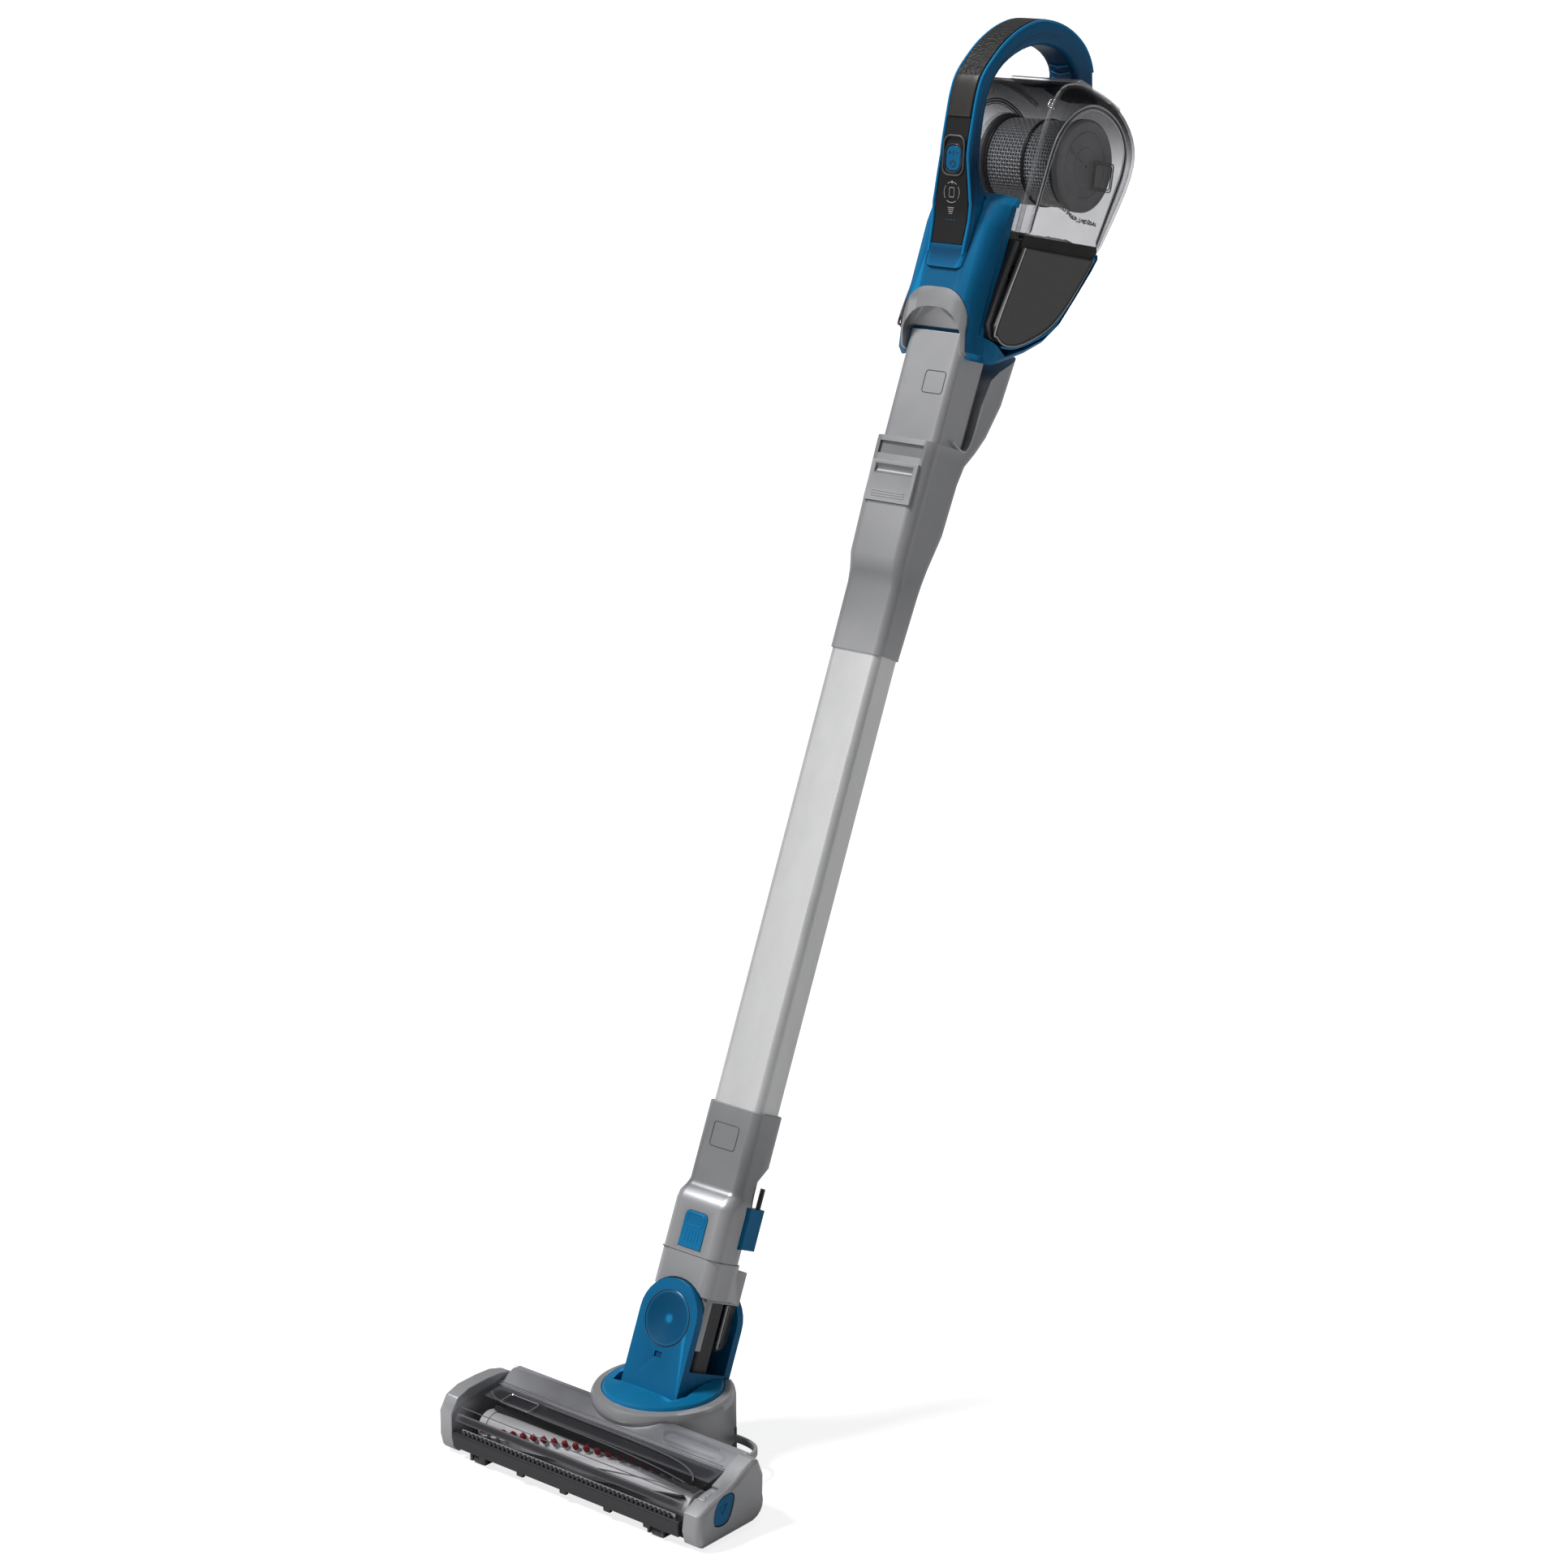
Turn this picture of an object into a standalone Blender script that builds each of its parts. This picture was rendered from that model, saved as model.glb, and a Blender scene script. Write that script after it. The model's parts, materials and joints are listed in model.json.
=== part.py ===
"""Cordless stick vacuum: floor head, swivel neck, wand and a lift-off hand unit, one object per piece.

Metres, +Z up. X runs along the floor head, -Y is the front. Two empties carry the pieces: HEAD has its
zero on the floor under the front edge of the bumper, and STICK has its zero on the swivel axis, where
local x is across the stick, local y (q) is its depth from front to back and local z (s) runs up it.
"""
import math

import bmesh
import bpy
from mathutils import Matrix, Vector

# ---- driving dimensions ----
GAP = 0.0003                      # play between pieces that touch
LEAN = math.radians(22.7)         # how far the stick leans back
FOOT_MIDDLE = 0.3175              # bumper front edge to the middle of the footprint
SWIVEL = (0.0, 0.1170, 0.1102)    # front end of the swivel axis in HEAD

HEAD_HALF = 0.1345                # half the floor head's width over its end caps
CAP_INNER = 0.1190                # inner face of an end cap
BRUSH_Y, BRUSH_Z = 0.0315, 0.0195
BRISTLE_R, CORE_R = 0.0185, 0.0125
MOTOR_Y, MOTOR_Z = 0.0648, 0.0260
COLLAR_Y, COLLAR_R = 0.1118, 0.0560
COLLAR_TOP = 0.0565
BEZEL_R = 0.0471

FORK_HALF, FORK_DEPTH = 0.0285, 0.0570
ARM = 0.0070                      # thickness of a fork arm
PITCH_Q, PITCH_S = 0.0320, -0.0628
DRUM_R = 0.0320
CAP_R = 0.0213
CLIP_X, CLIP_Q = 0.0215, 0.0240   # inner corner of the contact block on the neck
SCOOP_R = 0.0445                  # hollow in the fork under the swinging duct

TUBE_HALF, TUBE_Q0, TUBE_Q1 = 0.0250, 0.0155, 0.0425
TUBE_WALL, TUBE_R = 0.0015, 0.0070
TUBE_S0, TUBE_S1 = 0.1303, 0.5997

HAND_HALF = 0.0475                # half width of the hand unit
SHOULDER_HALF = 0.0380            # half width of the blue shell where it stands in front of the bowl
BOWL_HALF, BOWL_EDGE = 0.0480, 0.0120
HANDLE_HALF, HANDLE_EDGE = 0.0145, 0.0050
FILTER_Q, FILTER_S, FILTER_R = 0.0880, 0.9440, 0.0340
FAN_Q, FAN_S, FAN_BORE = 0.0550, 0.8350, 0.0262

# ---- colours: red, green, blue, roughness, metallic ----
BLUE = (0.000, 0.087, 0.205, 0.35, 0.0)
DEEP_BLUE = (0.006, 0.045, 0.120, 0.40, 0.0)
SILVER = (0.420, 0.425, 0.440, 0.35, 0.3)
ALUMINIUM = (0.610, 0.610, 0.610, 0.38, 0.8)
DARK = (0.030, 0.030, 0.032, 0.45, 0.0)
BLACK = (0.008, 0.008, 0.009, 0.40, 0.0)
CLEAR = (0.700, 0.710, 0.720, 0.08, 0.0)
SMOKE = (0.050, 0.052, 0.055, 0.12, 0.0)
RED = (0.300, 0.012, 0.012, 0.70, 0.0)
STEEL = (0.560, 0.560, 0.570, 0.30, 1.0)
RUBBER = (0.020, 0.020, 0.020, 0.80, 0.0)
WHITE = (0.600, 0.600, 0.600, 0.50, 0.0)


def clear_scene():
    for item in list(bpy.data.objects):
        bpy.data.objects.remove(item, do_unlink=True)


def empty(name, place, turn=0.0):
    item = bpy.data.objects.new(name, None)
    bpy.context.collection.objects.link(item)
    item.location = place
    item.rotation_euler = (turn, 0.0, 0.0)
    return item


def paint(item, colour):
    red, green, blue, rough, metal = colour
    look = bpy.data.materials.new(item.name)
    look.use_nodes = True
    shader = look.node_tree.nodes["Principled BSDF"]
    shader.inputs["Base Color"].default_value = (red, green, blue, 1.0)
    shader.inputs["Roughness"].default_value = rough
    shader.inputs["Metallic"].default_value = metal
    item.data.materials.append(look)


def solid(name, verts, faces, frame, colour=None, origin=(0.0, 0.0, 0.0)):
    """A closed mesh whose points are given in its frame; colour None makes it a cutter."""
    mesh = bpy.data.meshes.new(name)
    start = Vector(origin)
    mesh.from_pydata([Vector(v) - start for v in verts], [], faces)
    work = bmesh.new()
    work.from_mesh(mesh)
    bmesh.ops.recalc_face_normals(work, faces=work.faces)
    work.to_mesh(mesh)
    work.free()
    mesh.shade_smooth()
    mesh.set_sharp_from_angle(angle=math.radians(35))
    item = bpy.data.objects.new(name, mesh)
    bpy.context.collection.objects.link(item)
    item.parent = frame
    item.location = start
    if colour is None:
        item.hide_render = True
        item.display_type = "WIRE"
    else:
        paint(item, colour)
    return item


def combine(item, tool, how):
    step = item.modifiers.new(how.lower() + "_" + tool.name, "BOOLEAN")
    step.operation = how
    step.object = tool
    step.solver = "EXACT"
    tool.hide_render = True
    tool.display_type = "WIRE"


def cut(item, *tools):
    for tool in tools:
        combine(item, tool, "DIFFERENCE")


def join(item, *tools):
    for tool in tools:
        combine(item, tool, "UNION")


def loft(rings, laddered=False):
    """Points and faces of a closed body through rings of equal length.

    A laddered ring runs up one side and down the other, so its ends are closed rung by rung.
    """
    count = len(rings[0])
    verts = [p for ring in rings for p in ring]
    last = len(verts) - count
    if laddered:
        rungs = [(i, i + 1, count - 2 - i, count - 1 - i) for i in range(count // 2 - 1)]
        faces = rungs + [tuple(last + i for i in rung) for rung in rungs]
    else:
        faces = [list(range(count)), list(range(last, len(verts)))]
    for step in range(len(rings) - 1):
        for i in range(count):
            j = (i + 1) % count
            faces.append([step * count + i, step * count + j, (step + 1) * count + j, (step + 1) * count + i])
    return verts, faces


def pipe(outer, inner):
    """A body open from end to end, between outer rings and as many inner rings."""
    count = len(outer[0])
    loop = outer + inner[::-1]
    verts = [p for ring in loop for p in ring]
    faces = []
    for step in range(len(loop)):
        after = (step + 1) % len(loop)
        for i in range(count):
            j = (i + 1) % count
            faces.append([step * count + i, step * count + j, after * count + j, after * count + i])
    return verts, faces


def rrect(half, q0, q1, radius, s, steps=4):
    """Ring of a rectangle with round corners, level at s, symmetric in x."""
    ring = []
    corners = ((half, q0, -90), (half, q1, 0), (-half, q1, 90), (-half, q0, 180))
    for x, q, start in corners:
        cx = x - math.copysign(radius, x)
        cq = q + radius if q == q0 else q - radius
        for k in range(steps + 1):
            turn = math.radians(start + 90 * k / steps)
            ring.append((cx + radius * math.cos(turn), cq + radius * math.sin(turn), s))
    return ring


def sleeve(sections, steps=4):
    """Rings for a list of (s, half, q0, q1, radius)."""
    return [rrect(half, q0, q1, radius, s, steps) for s, half, q0, q1, radius in sections]


def box(low, high):
    (x0, y0, z0), (x1, y1, z1) = low, high
    return loft([[(x0, y0, z), (x1, y0, z), (x1, y1, z), (x0, y1, z)] for z in (z0, z1)])


def prism_x(outline, x0, x1):
    return loft([[(x, y, z) for y, z in outline] for x in (x0, x1)])


def prism_y(outline, y0, y1):
    return loft([[(x, y, z) for x, z in outline] for y in (y0, y1)])


def prism_z(outline, z0, z1):
    return loft([[(x, y, z) for x, y in outline] for z in (z0, z1)])


def rod_x(y, z, radius, x0, x1, sides=24):
    ring = [(y + radius * math.cos(2 * math.pi * k / sides), z + radius * math.sin(2 * math.pi * k / sides))
            for k in range(sides)]
    return prism_x(ring, x0, x1)


def rod_y(x, z, radius, y0, y1, sides=36):
    ring = [(x + radius * math.cos(2 * math.pi * k / sides), z + radius * math.sin(2 * math.pi * k / sides))
            for k in range(sides)]
    return prism_y(ring, y0, y1)


def stepped_rod(stations, place, sides=32):
    """A turned body from (along, radius) stations; place maps (along, u, v) to a point."""
    rings = []
    for along, radius in stations:
        rings.append([place(along, radius * math.cos(2 * math.pi * k / sides),
                            radius * math.sin(2 * math.pi * k / sides)) for k in range(sides)])
    return loft(rings)


def turned(profile, centre, sides=48):
    """A ring turned about a vertical axis; profile is a closed loop of (radius, z)."""
    verts, faces = [], []
    count = len(profile)
    for k in range(sides):
        turn = 2 * math.pi * k / sides
        for radius, z in profile:
            verts.append((centre[0] + radius * math.cos(turn), centre[1] + radius * math.sin(turn), z))
    for k in range(sides):
        after = (k + 1) % sides
        for i in range(count):
            j = (i + 1) % count
            faces.append([k * count + i, after * count + i, after * count + j, k * count + j])
    return verts, faces


def arc(cx, cy, radius, start, end, steps):
    """Points on an arc, angles in degrees."""
    return [(cx + radius * math.cos(math.radians(start + (end - start) * k / steps)),
             cy + radius * math.sin(math.radians(start + (end - start) * k / steps)))
            for k in range(steps + 1)]


def smooth(points, steps=3, closed=True):
    """Points along a Catmull-Rom curve through the given ones."""
    count = len(points)
    out = []
    for i in range(count if closed else count - 1):
        if closed:
            a, b, c, d = (points[(i + k) % count] for k in (-1, 0, 1, 2))
        else:
            a, b, c, d = (points[min(max(i + k, 0), count - 1)] for k in (-1, 0, 1, 2))
        for k in range(steps):
            t = k / steps
            out.append(tuple(0.5 * (2 * b[m] + (c[m] - a[m]) * t
                                    + (2 * a[m] - 5 * b[m] + 4 * c[m] - d[m]) * t * t
                                    + (3 * b[m] - a[m] - 3 * c[m] + d[m]) * t ** 3) for m in (0, 1)))
    if not closed:
        out.append(points[-1])
    return out


def inset(outline, depth):
    """A closed outline moved inwards by depth along its corner normals."""
    area = sum(outline[i - 1][0] * p[1] - p[0] * outline[i - 1][1] for i, p in enumerate(outline))
    sign = 1.0 if area > 0 else -1.0
    out = []
    for i, (u, v) in enumerate(outline):
        before = Vector(outline[i - 1])
        after = Vector(outline[(i + 1) % len(outline)])
        here = Vector((u, v))
        first = (here - before).normalized()
        second = (after - here).normalized()
        normal = Vector((-(first.y + second.y), first.x + second.x)).normalized() * sign
        lean = max(0.5, normal.dot(Vector((-first.y, first.x))) * sign)
        moved = here + normal * (depth / lean)
        out.append((moved.x, moved.y))
    return out


def fall_back(crown, x):
    """How far the front falls back at x, along the crown's points."""
    before = (0.0, 0.0)
    for point in crown:
        if x <= point[0]:
            share = (x - before[0]) / (point[0] - before[0])
            return before[1] + share * (point[1] - before[1])
        before = point
    return before[1]


def pillow(outline, half, edge, crown=(), crown_to=0.045, grow=0.0, steps=3, width=None):
    """A slab across x with rounded edges, from a side outline of (q, s).

    crown lists (x, how far the front falls back there), width(s) scales the half width along the outline.
    """
    half += grow
    stations = []
    for k in range(steps + 1):
        turn = math.radians(90 * k / steps)
        stations.append((half - edge + edge * math.sin(turn), edge * (1 - math.cos(turn))))
    middle = [(x, 0.0) for x, _ in reversed(crown) if x < half - edge]
    rows = ([(-x, d) for x, d in reversed(stations)] + [(-x, d) for x, d in middle]
            + [(x, d) for x, d in reversed(middle)] + stations)
    rings = []
    for x, depth in rows:
        ring = []
        for q, s in inset(outline, depth - grow):
            share = max(0.0, (crown_to - q) / crown_to)
            scale = width(s) if width else 1.0
            ring.append((x * scale, q + share * fall_back(crown, abs(x)), s))
        rings.append(ring)
    return loft(rings, laddered=width is not None)


# ---- floor head ----

def side_outline(top):
    """Side outline of an end cap, the top line given from front to back."""
    rear = arc(0.0620, 0.0180, 0.0150, 20, -80, 5)
    return [(0.0100, 0.0015), (0.0045, 0.0050), (0.0020, 0.0150)] + top + rear


def make_head(frame):
    base = solid("head_base", *box((-0.1185, 0.0118, 0.0030), (0.1185, 0.0765, 0.0150)), frame, DARK)
    drum = solid("base_drum", *prism_z(arc(0, COLLAR_Y, COLLAR_R, 0, 345, 23), 0.0030, 0.0150), frame)
    tray = solid("base_tray", *box((-0.1168, 0.0535, 0.0060), (0.1168, 0.0742, 0.0200)), frame)
    sump = solid("base_sump", *prism_z(arc(0, COLLAR_Y, COLLAR_R - 0.0028, 0, 345, 23), 0.0065, 0.0200),
                 frame)
    mouth = solid("brush_mouth", *box((-0.1168, 0.0128, 0.0), (0.1168, 0.0505, 0.0200)), frame)
    belt_way = solid("base_belt_way", *box((-0.1168, 0.0480, 0.0060), (-0.1104, 0.0600, 0.0200)), frame)
    duct = solid("base_duct", *box((-0.0300, 0.0450, 0.0065), (0.0300, 0.0900, 0.0200)), frame)
    notch = solid("base_notch", *box((-0.0300, COLLAR_Y, 0.0066), (0.0300, 0.1800, 0.0200)), frame)
    join(base, drum)
    cut(base, tray, sump, mouth, duct, belt_way, notch)
    wheel_spaces = []
    for side, sign in (("left", -1), ("right", 1)):
        post = solid("axle_post_" + side, *box((min(sign * 0.0297, sign * 0.0355), 0.1080, 0.0050),
                                               (max(sign * 0.0297, sign * 0.0355), 0.1365, 0.0470)), frame)
        join(base, post)
        well = solid("wheel_well_" + side, *box((sign * 0.0425 - 0.0050, 0.1105, 0.0),
                                                (sign * 0.0425 + 0.0050, 0.1395, 0.0250)), frame)
        clear = solid("wheel_space_" + side, *box((sign * 0.0425 - 0.0072, 0.1086, 0.0),
                                                  (sign * 0.0425 + 0.0072, 0.1414, 0.0270)), frame)
        wheel_spaces.append(clear)
        cheek = solid("wheel_box_" + side, *box((sign * 0.0425 - 0.0068, 0.1090, 0.0050),
                                                (sign * 0.0425 + 0.0068, 0.1410, 0.0265)), frame)
        join(base, cheek)
        cut(base, well)
        for end in (-1, 1):
            x = sign * 0.0920 + end * 0.0068
            tab = solid(f"roller_tab_{side}_{end}", *box((x - 0.0012, 0.0025, 0.0026), (x + 0.0012, 0.0122,
                                                                                        0.0080)),
                        frame)
            join(base, tab)
    bore = solid("pitch_bore", *rod_x(*pitch_axis(), 0.0043, -0.05, 0.05), frame)
    cut(base, bore)

    beam_line = [(0.0525, 0.0153), (0.0525, 0.0430), (0.0690, 0.0505), (0.0765, 0.0500), (0.0765, 0.0153)]
    cover = solid("head_cover", *prism_x(beam_line, -0.1185, 0.1185), frame, SILVER)
    collar = [(0.0476, 0.0153), (COLLAR_R, 0.0153), (COLLAR_R, 0.0480), (0.0552, 0.0525), (0.0535, 0.0553),
              (0.0505, COLLAR_TOP), (0.0476, COLLAR_TOP)]
    ring = solid("cover_collar", *turned(collar, (0, COLLAR_Y)), frame)
    hollow = solid("cover_hollow", *prism_x([(0.0545, 0.0100), (0.0545, 0.0420), (0.0690, 0.0485), (0.0743,
                                                                                                    0.0480),
                                             (0.0743, 0.0100)], -0.1168, 0.1168), frame)
    belt_gate = solid("cover_belt_way", *box((-0.1168, 0.0400, 0.0100), (-0.1104, 0.0600, 0.0345)), frame)
    well = solid("cover_well", *prism_z(arc(0, COLLAR_Y, 0.0525, 4, 356, 32), 0.0100, 0.0480), frame)
    back = solid("lean_back_slot", *box((-0.0300, COLLAR_Y, 0.0100), (0.0300, 0.1800, 0.0700)), frame)
    seat = solid("bezel_seat", *prism_z(arc(0, COLLAR_Y, BEZEL_R + GAP, 0, 352.5, 47), 0.0050, 0.0700), frame)
    cut(cover, hollow, belt_gate)
    join(cover, ring)
    cut(cover, well, seat, back, *wheel_spaces)

    dish = [(0.0020, 0.0500), (0.0440, 0.0500), (BEZEL_R, 0.0515), (BEZEL_R, 0.0563), (0.0455, 0.0588),
            (0.0400, 0.0607), (0.0300, 0.0622), (0.0150, 0.0628), (0.0020, 0.0628)]
    bezel = solid("swivel_bezel", *turned(dish, (0, COLLAR_Y)), frame, BLUE)
    slot = [(-0.0305, 0.0885), (0.0305, 0.0885), (0.0345, 0.1000), (0.0300, 0.1250), (0.0300, 0.1700),
            (-0.0300, 0.1700), (-0.0300, 0.1250), (-0.0345, 0.1000)]
    cut(bezel, solid("bezel_slot", *prism_z(slot, 0.0400, 0.0700), frame))

    glass_line = [(0.0015, 0.0245), (0.0022, 0.0310), (0.0060, 0.0372), (0.0130, 0.0402), (0.0300, 0.0425),
                  (0.0504, 0.0455), (0.0600, 0.0500), (0.0706, 0.0540)]
    glass_line = smooth(glass_line, 2, closed=False)
    under = [(y + 0.0020 * (1 if y < 0.01 else 0.25), z - (0.0005 if y < 0.004 else 0.0021)) for y,
             z in glass_line]
    glass = solid("brush_window", *prism_x(glass_line + under[::-1], -0.1185, 0.1185), frame, CLEAR)
    collar_space = solid("window_cut", *prism_z(arc(0, COLLAR_Y, COLLAR_R + 0.0006, 0, 350, 35), 0.0200,
                                                0.0700),
                         frame)
    rib = solid("window_rib", *prism_z(arc(0.1010, 0.0575, 0.0045, -90, 90, 6)
                                       + arc(0.0560, 0.0575, 0.0045, 90, 270, 6), 0.0480, 0.0535), frame)
    join(glass, rib)
    cut(glass, collar_space)

    tint_line = [(y, z) for y, z in under if 0.0125 < y < 0.0500]
    tint_top = [(y + 0.0002, z - GAP) for y, z in tint_line]
    tint_low = [(y + 0.0004, z - GAP - 0.0010) for y, z in tint_line]
    solid("window_tint", *prism_x(tint_top + tint_low[::-1], -0.1170, 0.1170), frame, SMOKE)

    bumper_line = [(0.0005, 0.0092), (0.0, 0.0190), (0.0012, 0.0212), (0.0100, 0.0212), (0.0112, 0.0195),
                   (0.0112, 0.0092)]
    solid("front_bumper", *prism_x(bumper_line, -0.1165, 0.1165), frame, BLACK)

    left_top = [(0.0020, 0.0345), (0.0095, 0.0460), (0.0215, 0.0503), (0.0410, 0.0515), (0.0560, 0.0512),
                (0.0680, 0.0480), (0.0760, 0.0380)]
    right_top = [(0.0040, 0.0290), (0.0155, 0.0350), (0.0340, 0.0390), (0.0450, 0.0435), (0.0540, 0.0490),
                 (0.0640, 0.0535), (0.0710, 0.0510), (0.0765, 0.0380)]
    for side, sign, top in (("left", -1, left_top), ("right", 1, right_top)):
        outline = side_outline(top)
        edge = 0.0050
        rings = []
        for x, depth in ((CAP_INNER, 0.0), (HEAD_HALF - edge, 0.0), (HEAD_HALF - 0.5 * edge, 0.14 * edge),
                         (HEAD_HALF - 0.14 * edge, 0.5 * edge), (HEAD_HALF, edge)):
            rings.append([(sign * x, y, z) for y, z in inset(outline, depth)])
        cap = solid("end_cap_" + side, *loft(rings), frame, SILVER)
        if sign > 0:
            pocket = solid("button_pocket", *prism_x(button_outline(GAP + 0.0003), 0.1275, 0.1400), frame)
            cut(cap, pocket)
            shelf = solid("latch_shelf", *box((0.1100, 0.0175, 0.0310), (0.1262, 0.0345, 0.0500)), frame)
            cut(cap, shelf)
    solid("brush_release_button", *prism_x(button_outline(0.0), 0.1300, 0.1340), frame, BLUE,
          (0.1340, 0.0330, 0.0248))
    latch_line = [(0.0182, 0.0314), (0.0182, 0.0352), (0.0262, 0.0372), (0.0336, 0.0376), (0.0336, 0.0314)]
    solid("window_latch", *prism_x(latch_line, 0.1193, 0.1258), frame, SILVER, (0.1225, 0.0182, 0.0314))

    axle = rod_x(*pitch_axis(), 0.0040, -0.0354, 0.0354)
    solid("pitch_axle", *axle, frame, STEEL)

    for side, sign in (("left", -1), ("right", 1)):
        route = smooth([(0.0510, 0.1370), (0.0640, 0.1365), (0.0760, 0.1320), (0.0820, 0.1210), (0.0825,
                                                                                                 0.1000),
                        (0.0825, 0.0770)], 3, closed=False)
        outer, inner = [], []
        for i, (x, y) in enumerate(route):
            before, after = Vector(route[max(i - 1, 0)]), Vector(route[min(i + 1, len(route) - 1)])
            along = (after - before).normalized()
            outer.append((sign * (x - along.y * 0.0014), y + along.x * 0.0014))
            inner.append((sign * (x + along.y * 0.0014), y - along.x * 0.0014))
        solid("rear_loop_" + side, *prism_z(outer + inner[::-1], 0.0165, 0.0225), frame, DARK)


def button_outline(grow):
    """Rounded outline of the brush release button in (y, z)."""
    corners = [(0.0210, 0.0165), (0.0345, 0.0155), (0.0415, 0.0300), (0.0390, 0.0360), (0.0275, 0.0345),
               (0.0210, 0.0280)]
    return inset(smooth(corners, 3), -grow)


def pitch_axis():
    """The fork's pitch axis in HEAD, as (y, z)."""
    y = SWIVEL[1] + PITCH_Q * math.cos(LEAN) + PITCH_S * math.sin(LEAN)
    z = SWIVEL[2] - PITCH_Q * math.sin(LEAN) + PITCH_S * math.cos(LEAN)
    return y, z


def make_brush(frame):
    centre = (0.0, BRUSH_Y, BRUSH_Z)

    def on_axis(along, u, v):
        return along, BRUSH_Y + u, BRUSH_Z + v

    def strip(phase, root, tip, half_turn, steps=24):
        """A helical wall standing on the core, one twist over its length."""
        rings = []
        for k in range(steps + 1):
            x = -0.1040 + 0.2080 * k / steps
            turn = phase + math.radians(170.0 - 125.0 * k / steps)
            ring = []
            for radius, side in ((root, -1), (tip, -1), (tip, 1), (root, 1)):
                around = turn + side * half_turn * (0.0125 / radius)
                ring.append((x, BRUSH_Y + radius * math.cos(around), BRUSH_Z + radius * math.sin(around)))
            rings.append(ring)
        return loft(rings)

    core = solid("brush_roll", *stepped_rod([(-0.1085, 0.0090), (-0.1080, CORE_R), (0.1080, CORE_R),
                                             (0.1085, 0.0090)], on_axis, 28), frame, WHITE, centre)
    shaft = solid("brush_shaft", *stepped_rod([(-0.1178, 0.0030), (0.1178, 0.0030)], on_axis, 16), frame)
    join(core, shaft)
    for k in range(2):
        phase = math.pi * k + 0.5 * math.pi
        fin = solid(f"brush_fin_{k}", *strip(phase, CORE_R - 0.0015, 0.0165, 0.0010 / 0.0125), frame)
        join(core, fin)
        tufts = strip(math.pi * k, CORE_R + 0.0006, BRISTLE_R, 0.0016 / 0.0125)
        solid("bristle_row_" + "ab"[k], *tufts, frame, RED, centre)

    wheel = solid("brush_pulley", *stepped_rod([(-0.1163, 0.0088), (-0.1112, 0.0088)], on_axis, 28), frame,
                  DARK,
                  centre)
    cut(wheel, solid("pulley_bore", *stepped_rod([(-0.1200, 0.0033), (-0.1000, 0.0033)], on_axis, 16), frame))

    def on_motor(along, u, v):
        return along, MOTOR_Y + u, MOTOR_Z + v

    motor = solid("brush_motor", *stepped_rod([(-0.1050, 0.0082), (-0.1030, 0.0091), (-0.0650, 0.0091),
                                               (-0.0630, 0.0082)], on_motor, 24), frame, STEEL)
    cut(motor, solid("motor_bore", *stepped_rod([(-0.1100, 0.0021), (-0.0900, 0.0021)], on_motor, 16), frame))
    spindle = [(-0.1160, 0.0042), (-0.1110, 0.0042), (-0.1109, 0.0018), (-0.0920, 0.0018)]
    solid("motor_pulley", *stepped_rod(spindle, on_motor, 20), frame, STEEL, (0.0, MOTOR_Y, MOTOR_Z))
    belt(frame)


def belt(frame):
    """A flat belt round the brush pulley and the motor pulley, in the plane of both."""
    big, small, thick = 0.0088 + GAP, 0.0042 + GAP, 0.0010
    span = Vector((MOTOR_Y - BRUSH_Y, MOTOR_Z - BRUSH_Z))
    tilt = math.degrees(math.atan2(span.y, span.x))
    wrap = math.degrees(math.asin((big - small) / span.length))

    def loop(extra):
        near = arc(BRUSH_Y, BRUSH_Z, big + extra, tilt + 90 - wrap, tilt + 270 + wrap, 14)
        far = arc(MOTOR_Y, MOTOR_Z, small + extra, tilt - 90 + wrap, tilt + 90 - wrap, 10)
        return near + far

    outer, inner = loop(thick), loop(0.0)
    rings = [[(x, y, z) for y, z in line] for line, x in
             ((outer, -0.1158), (outer, -0.1118), (inner, -0.1118), (inner, -0.1158))]
    count = len(outer)
    verts = [p for ring in rings for p in ring]
    faces = []
    for step in range(4):
        after = (step + 1) % 4
        for i in range(count):
            j = (i + 1) % count
            faces.append([step * count + i, step * count + j, after * count + j, after * count + i])
    solid("drive_belt", verts, faces, frame, RUBBER)


def make_wheels(frame):
    for side, sign in (("left", -1), ("right", 1)):
        x = sign * 0.0425
        spots = [(x - 0.0064, 0.0016), (x - 0.0044, 0.0016), (x - 0.0043, 0.0085), (x - 0.0030, 0.0100),
                 (x + 0.0030, 0.0100), (x + 0.0043, 0.0085), (x + 0.0044, 0.0016), (x + 0.0064, 0.0016)]
        holes = solid("wheel_axle_hole_" + side, *rod_x(0.1250, 0.0100, 0.0019, x - 0.0070, x + 0.0070,
                                                        16), frame)
        cut(bpy.data.objects["head_base"], holes)
        solid("rear_wheel_" + side, *stepped_rod(spots, lambda a, u, v: (a, 0.1250 + u, 0.0100 + v), 20),
              frame,
              RUBBER, (x, 0.1250, 0.0100))
        x = sign * 0.0920
        pins = [(x - 0.0066, 0.0009), (x - 0.0052, 0.0009), (x - 0.0051, 0.0034), (x - 0.0040, 0.0038),
                (x + 0.0040, 0.0038), (x + 0.0051, 0.0034), (x + 0.0052, 0.0009), (x + 0.0066, 0.0009)]
        holes = solid("roller_axle_hole_" + side, *rod_x(0.0066, 0.0042, 0.0012, x - 0.0085, x + 0.0085,
                                                         12), frame)
        cut(bpy.data.objects["head_base"], holes)
        solid("front_roller_" + side, *stepped_rod(pins, lambda a, u, v: (a, 0.0066 + u, 0.0042 + v), 14),
              frame,
              DARK, (x, 0.0066, 0.0042))


# ---- fork and neck ----

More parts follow.
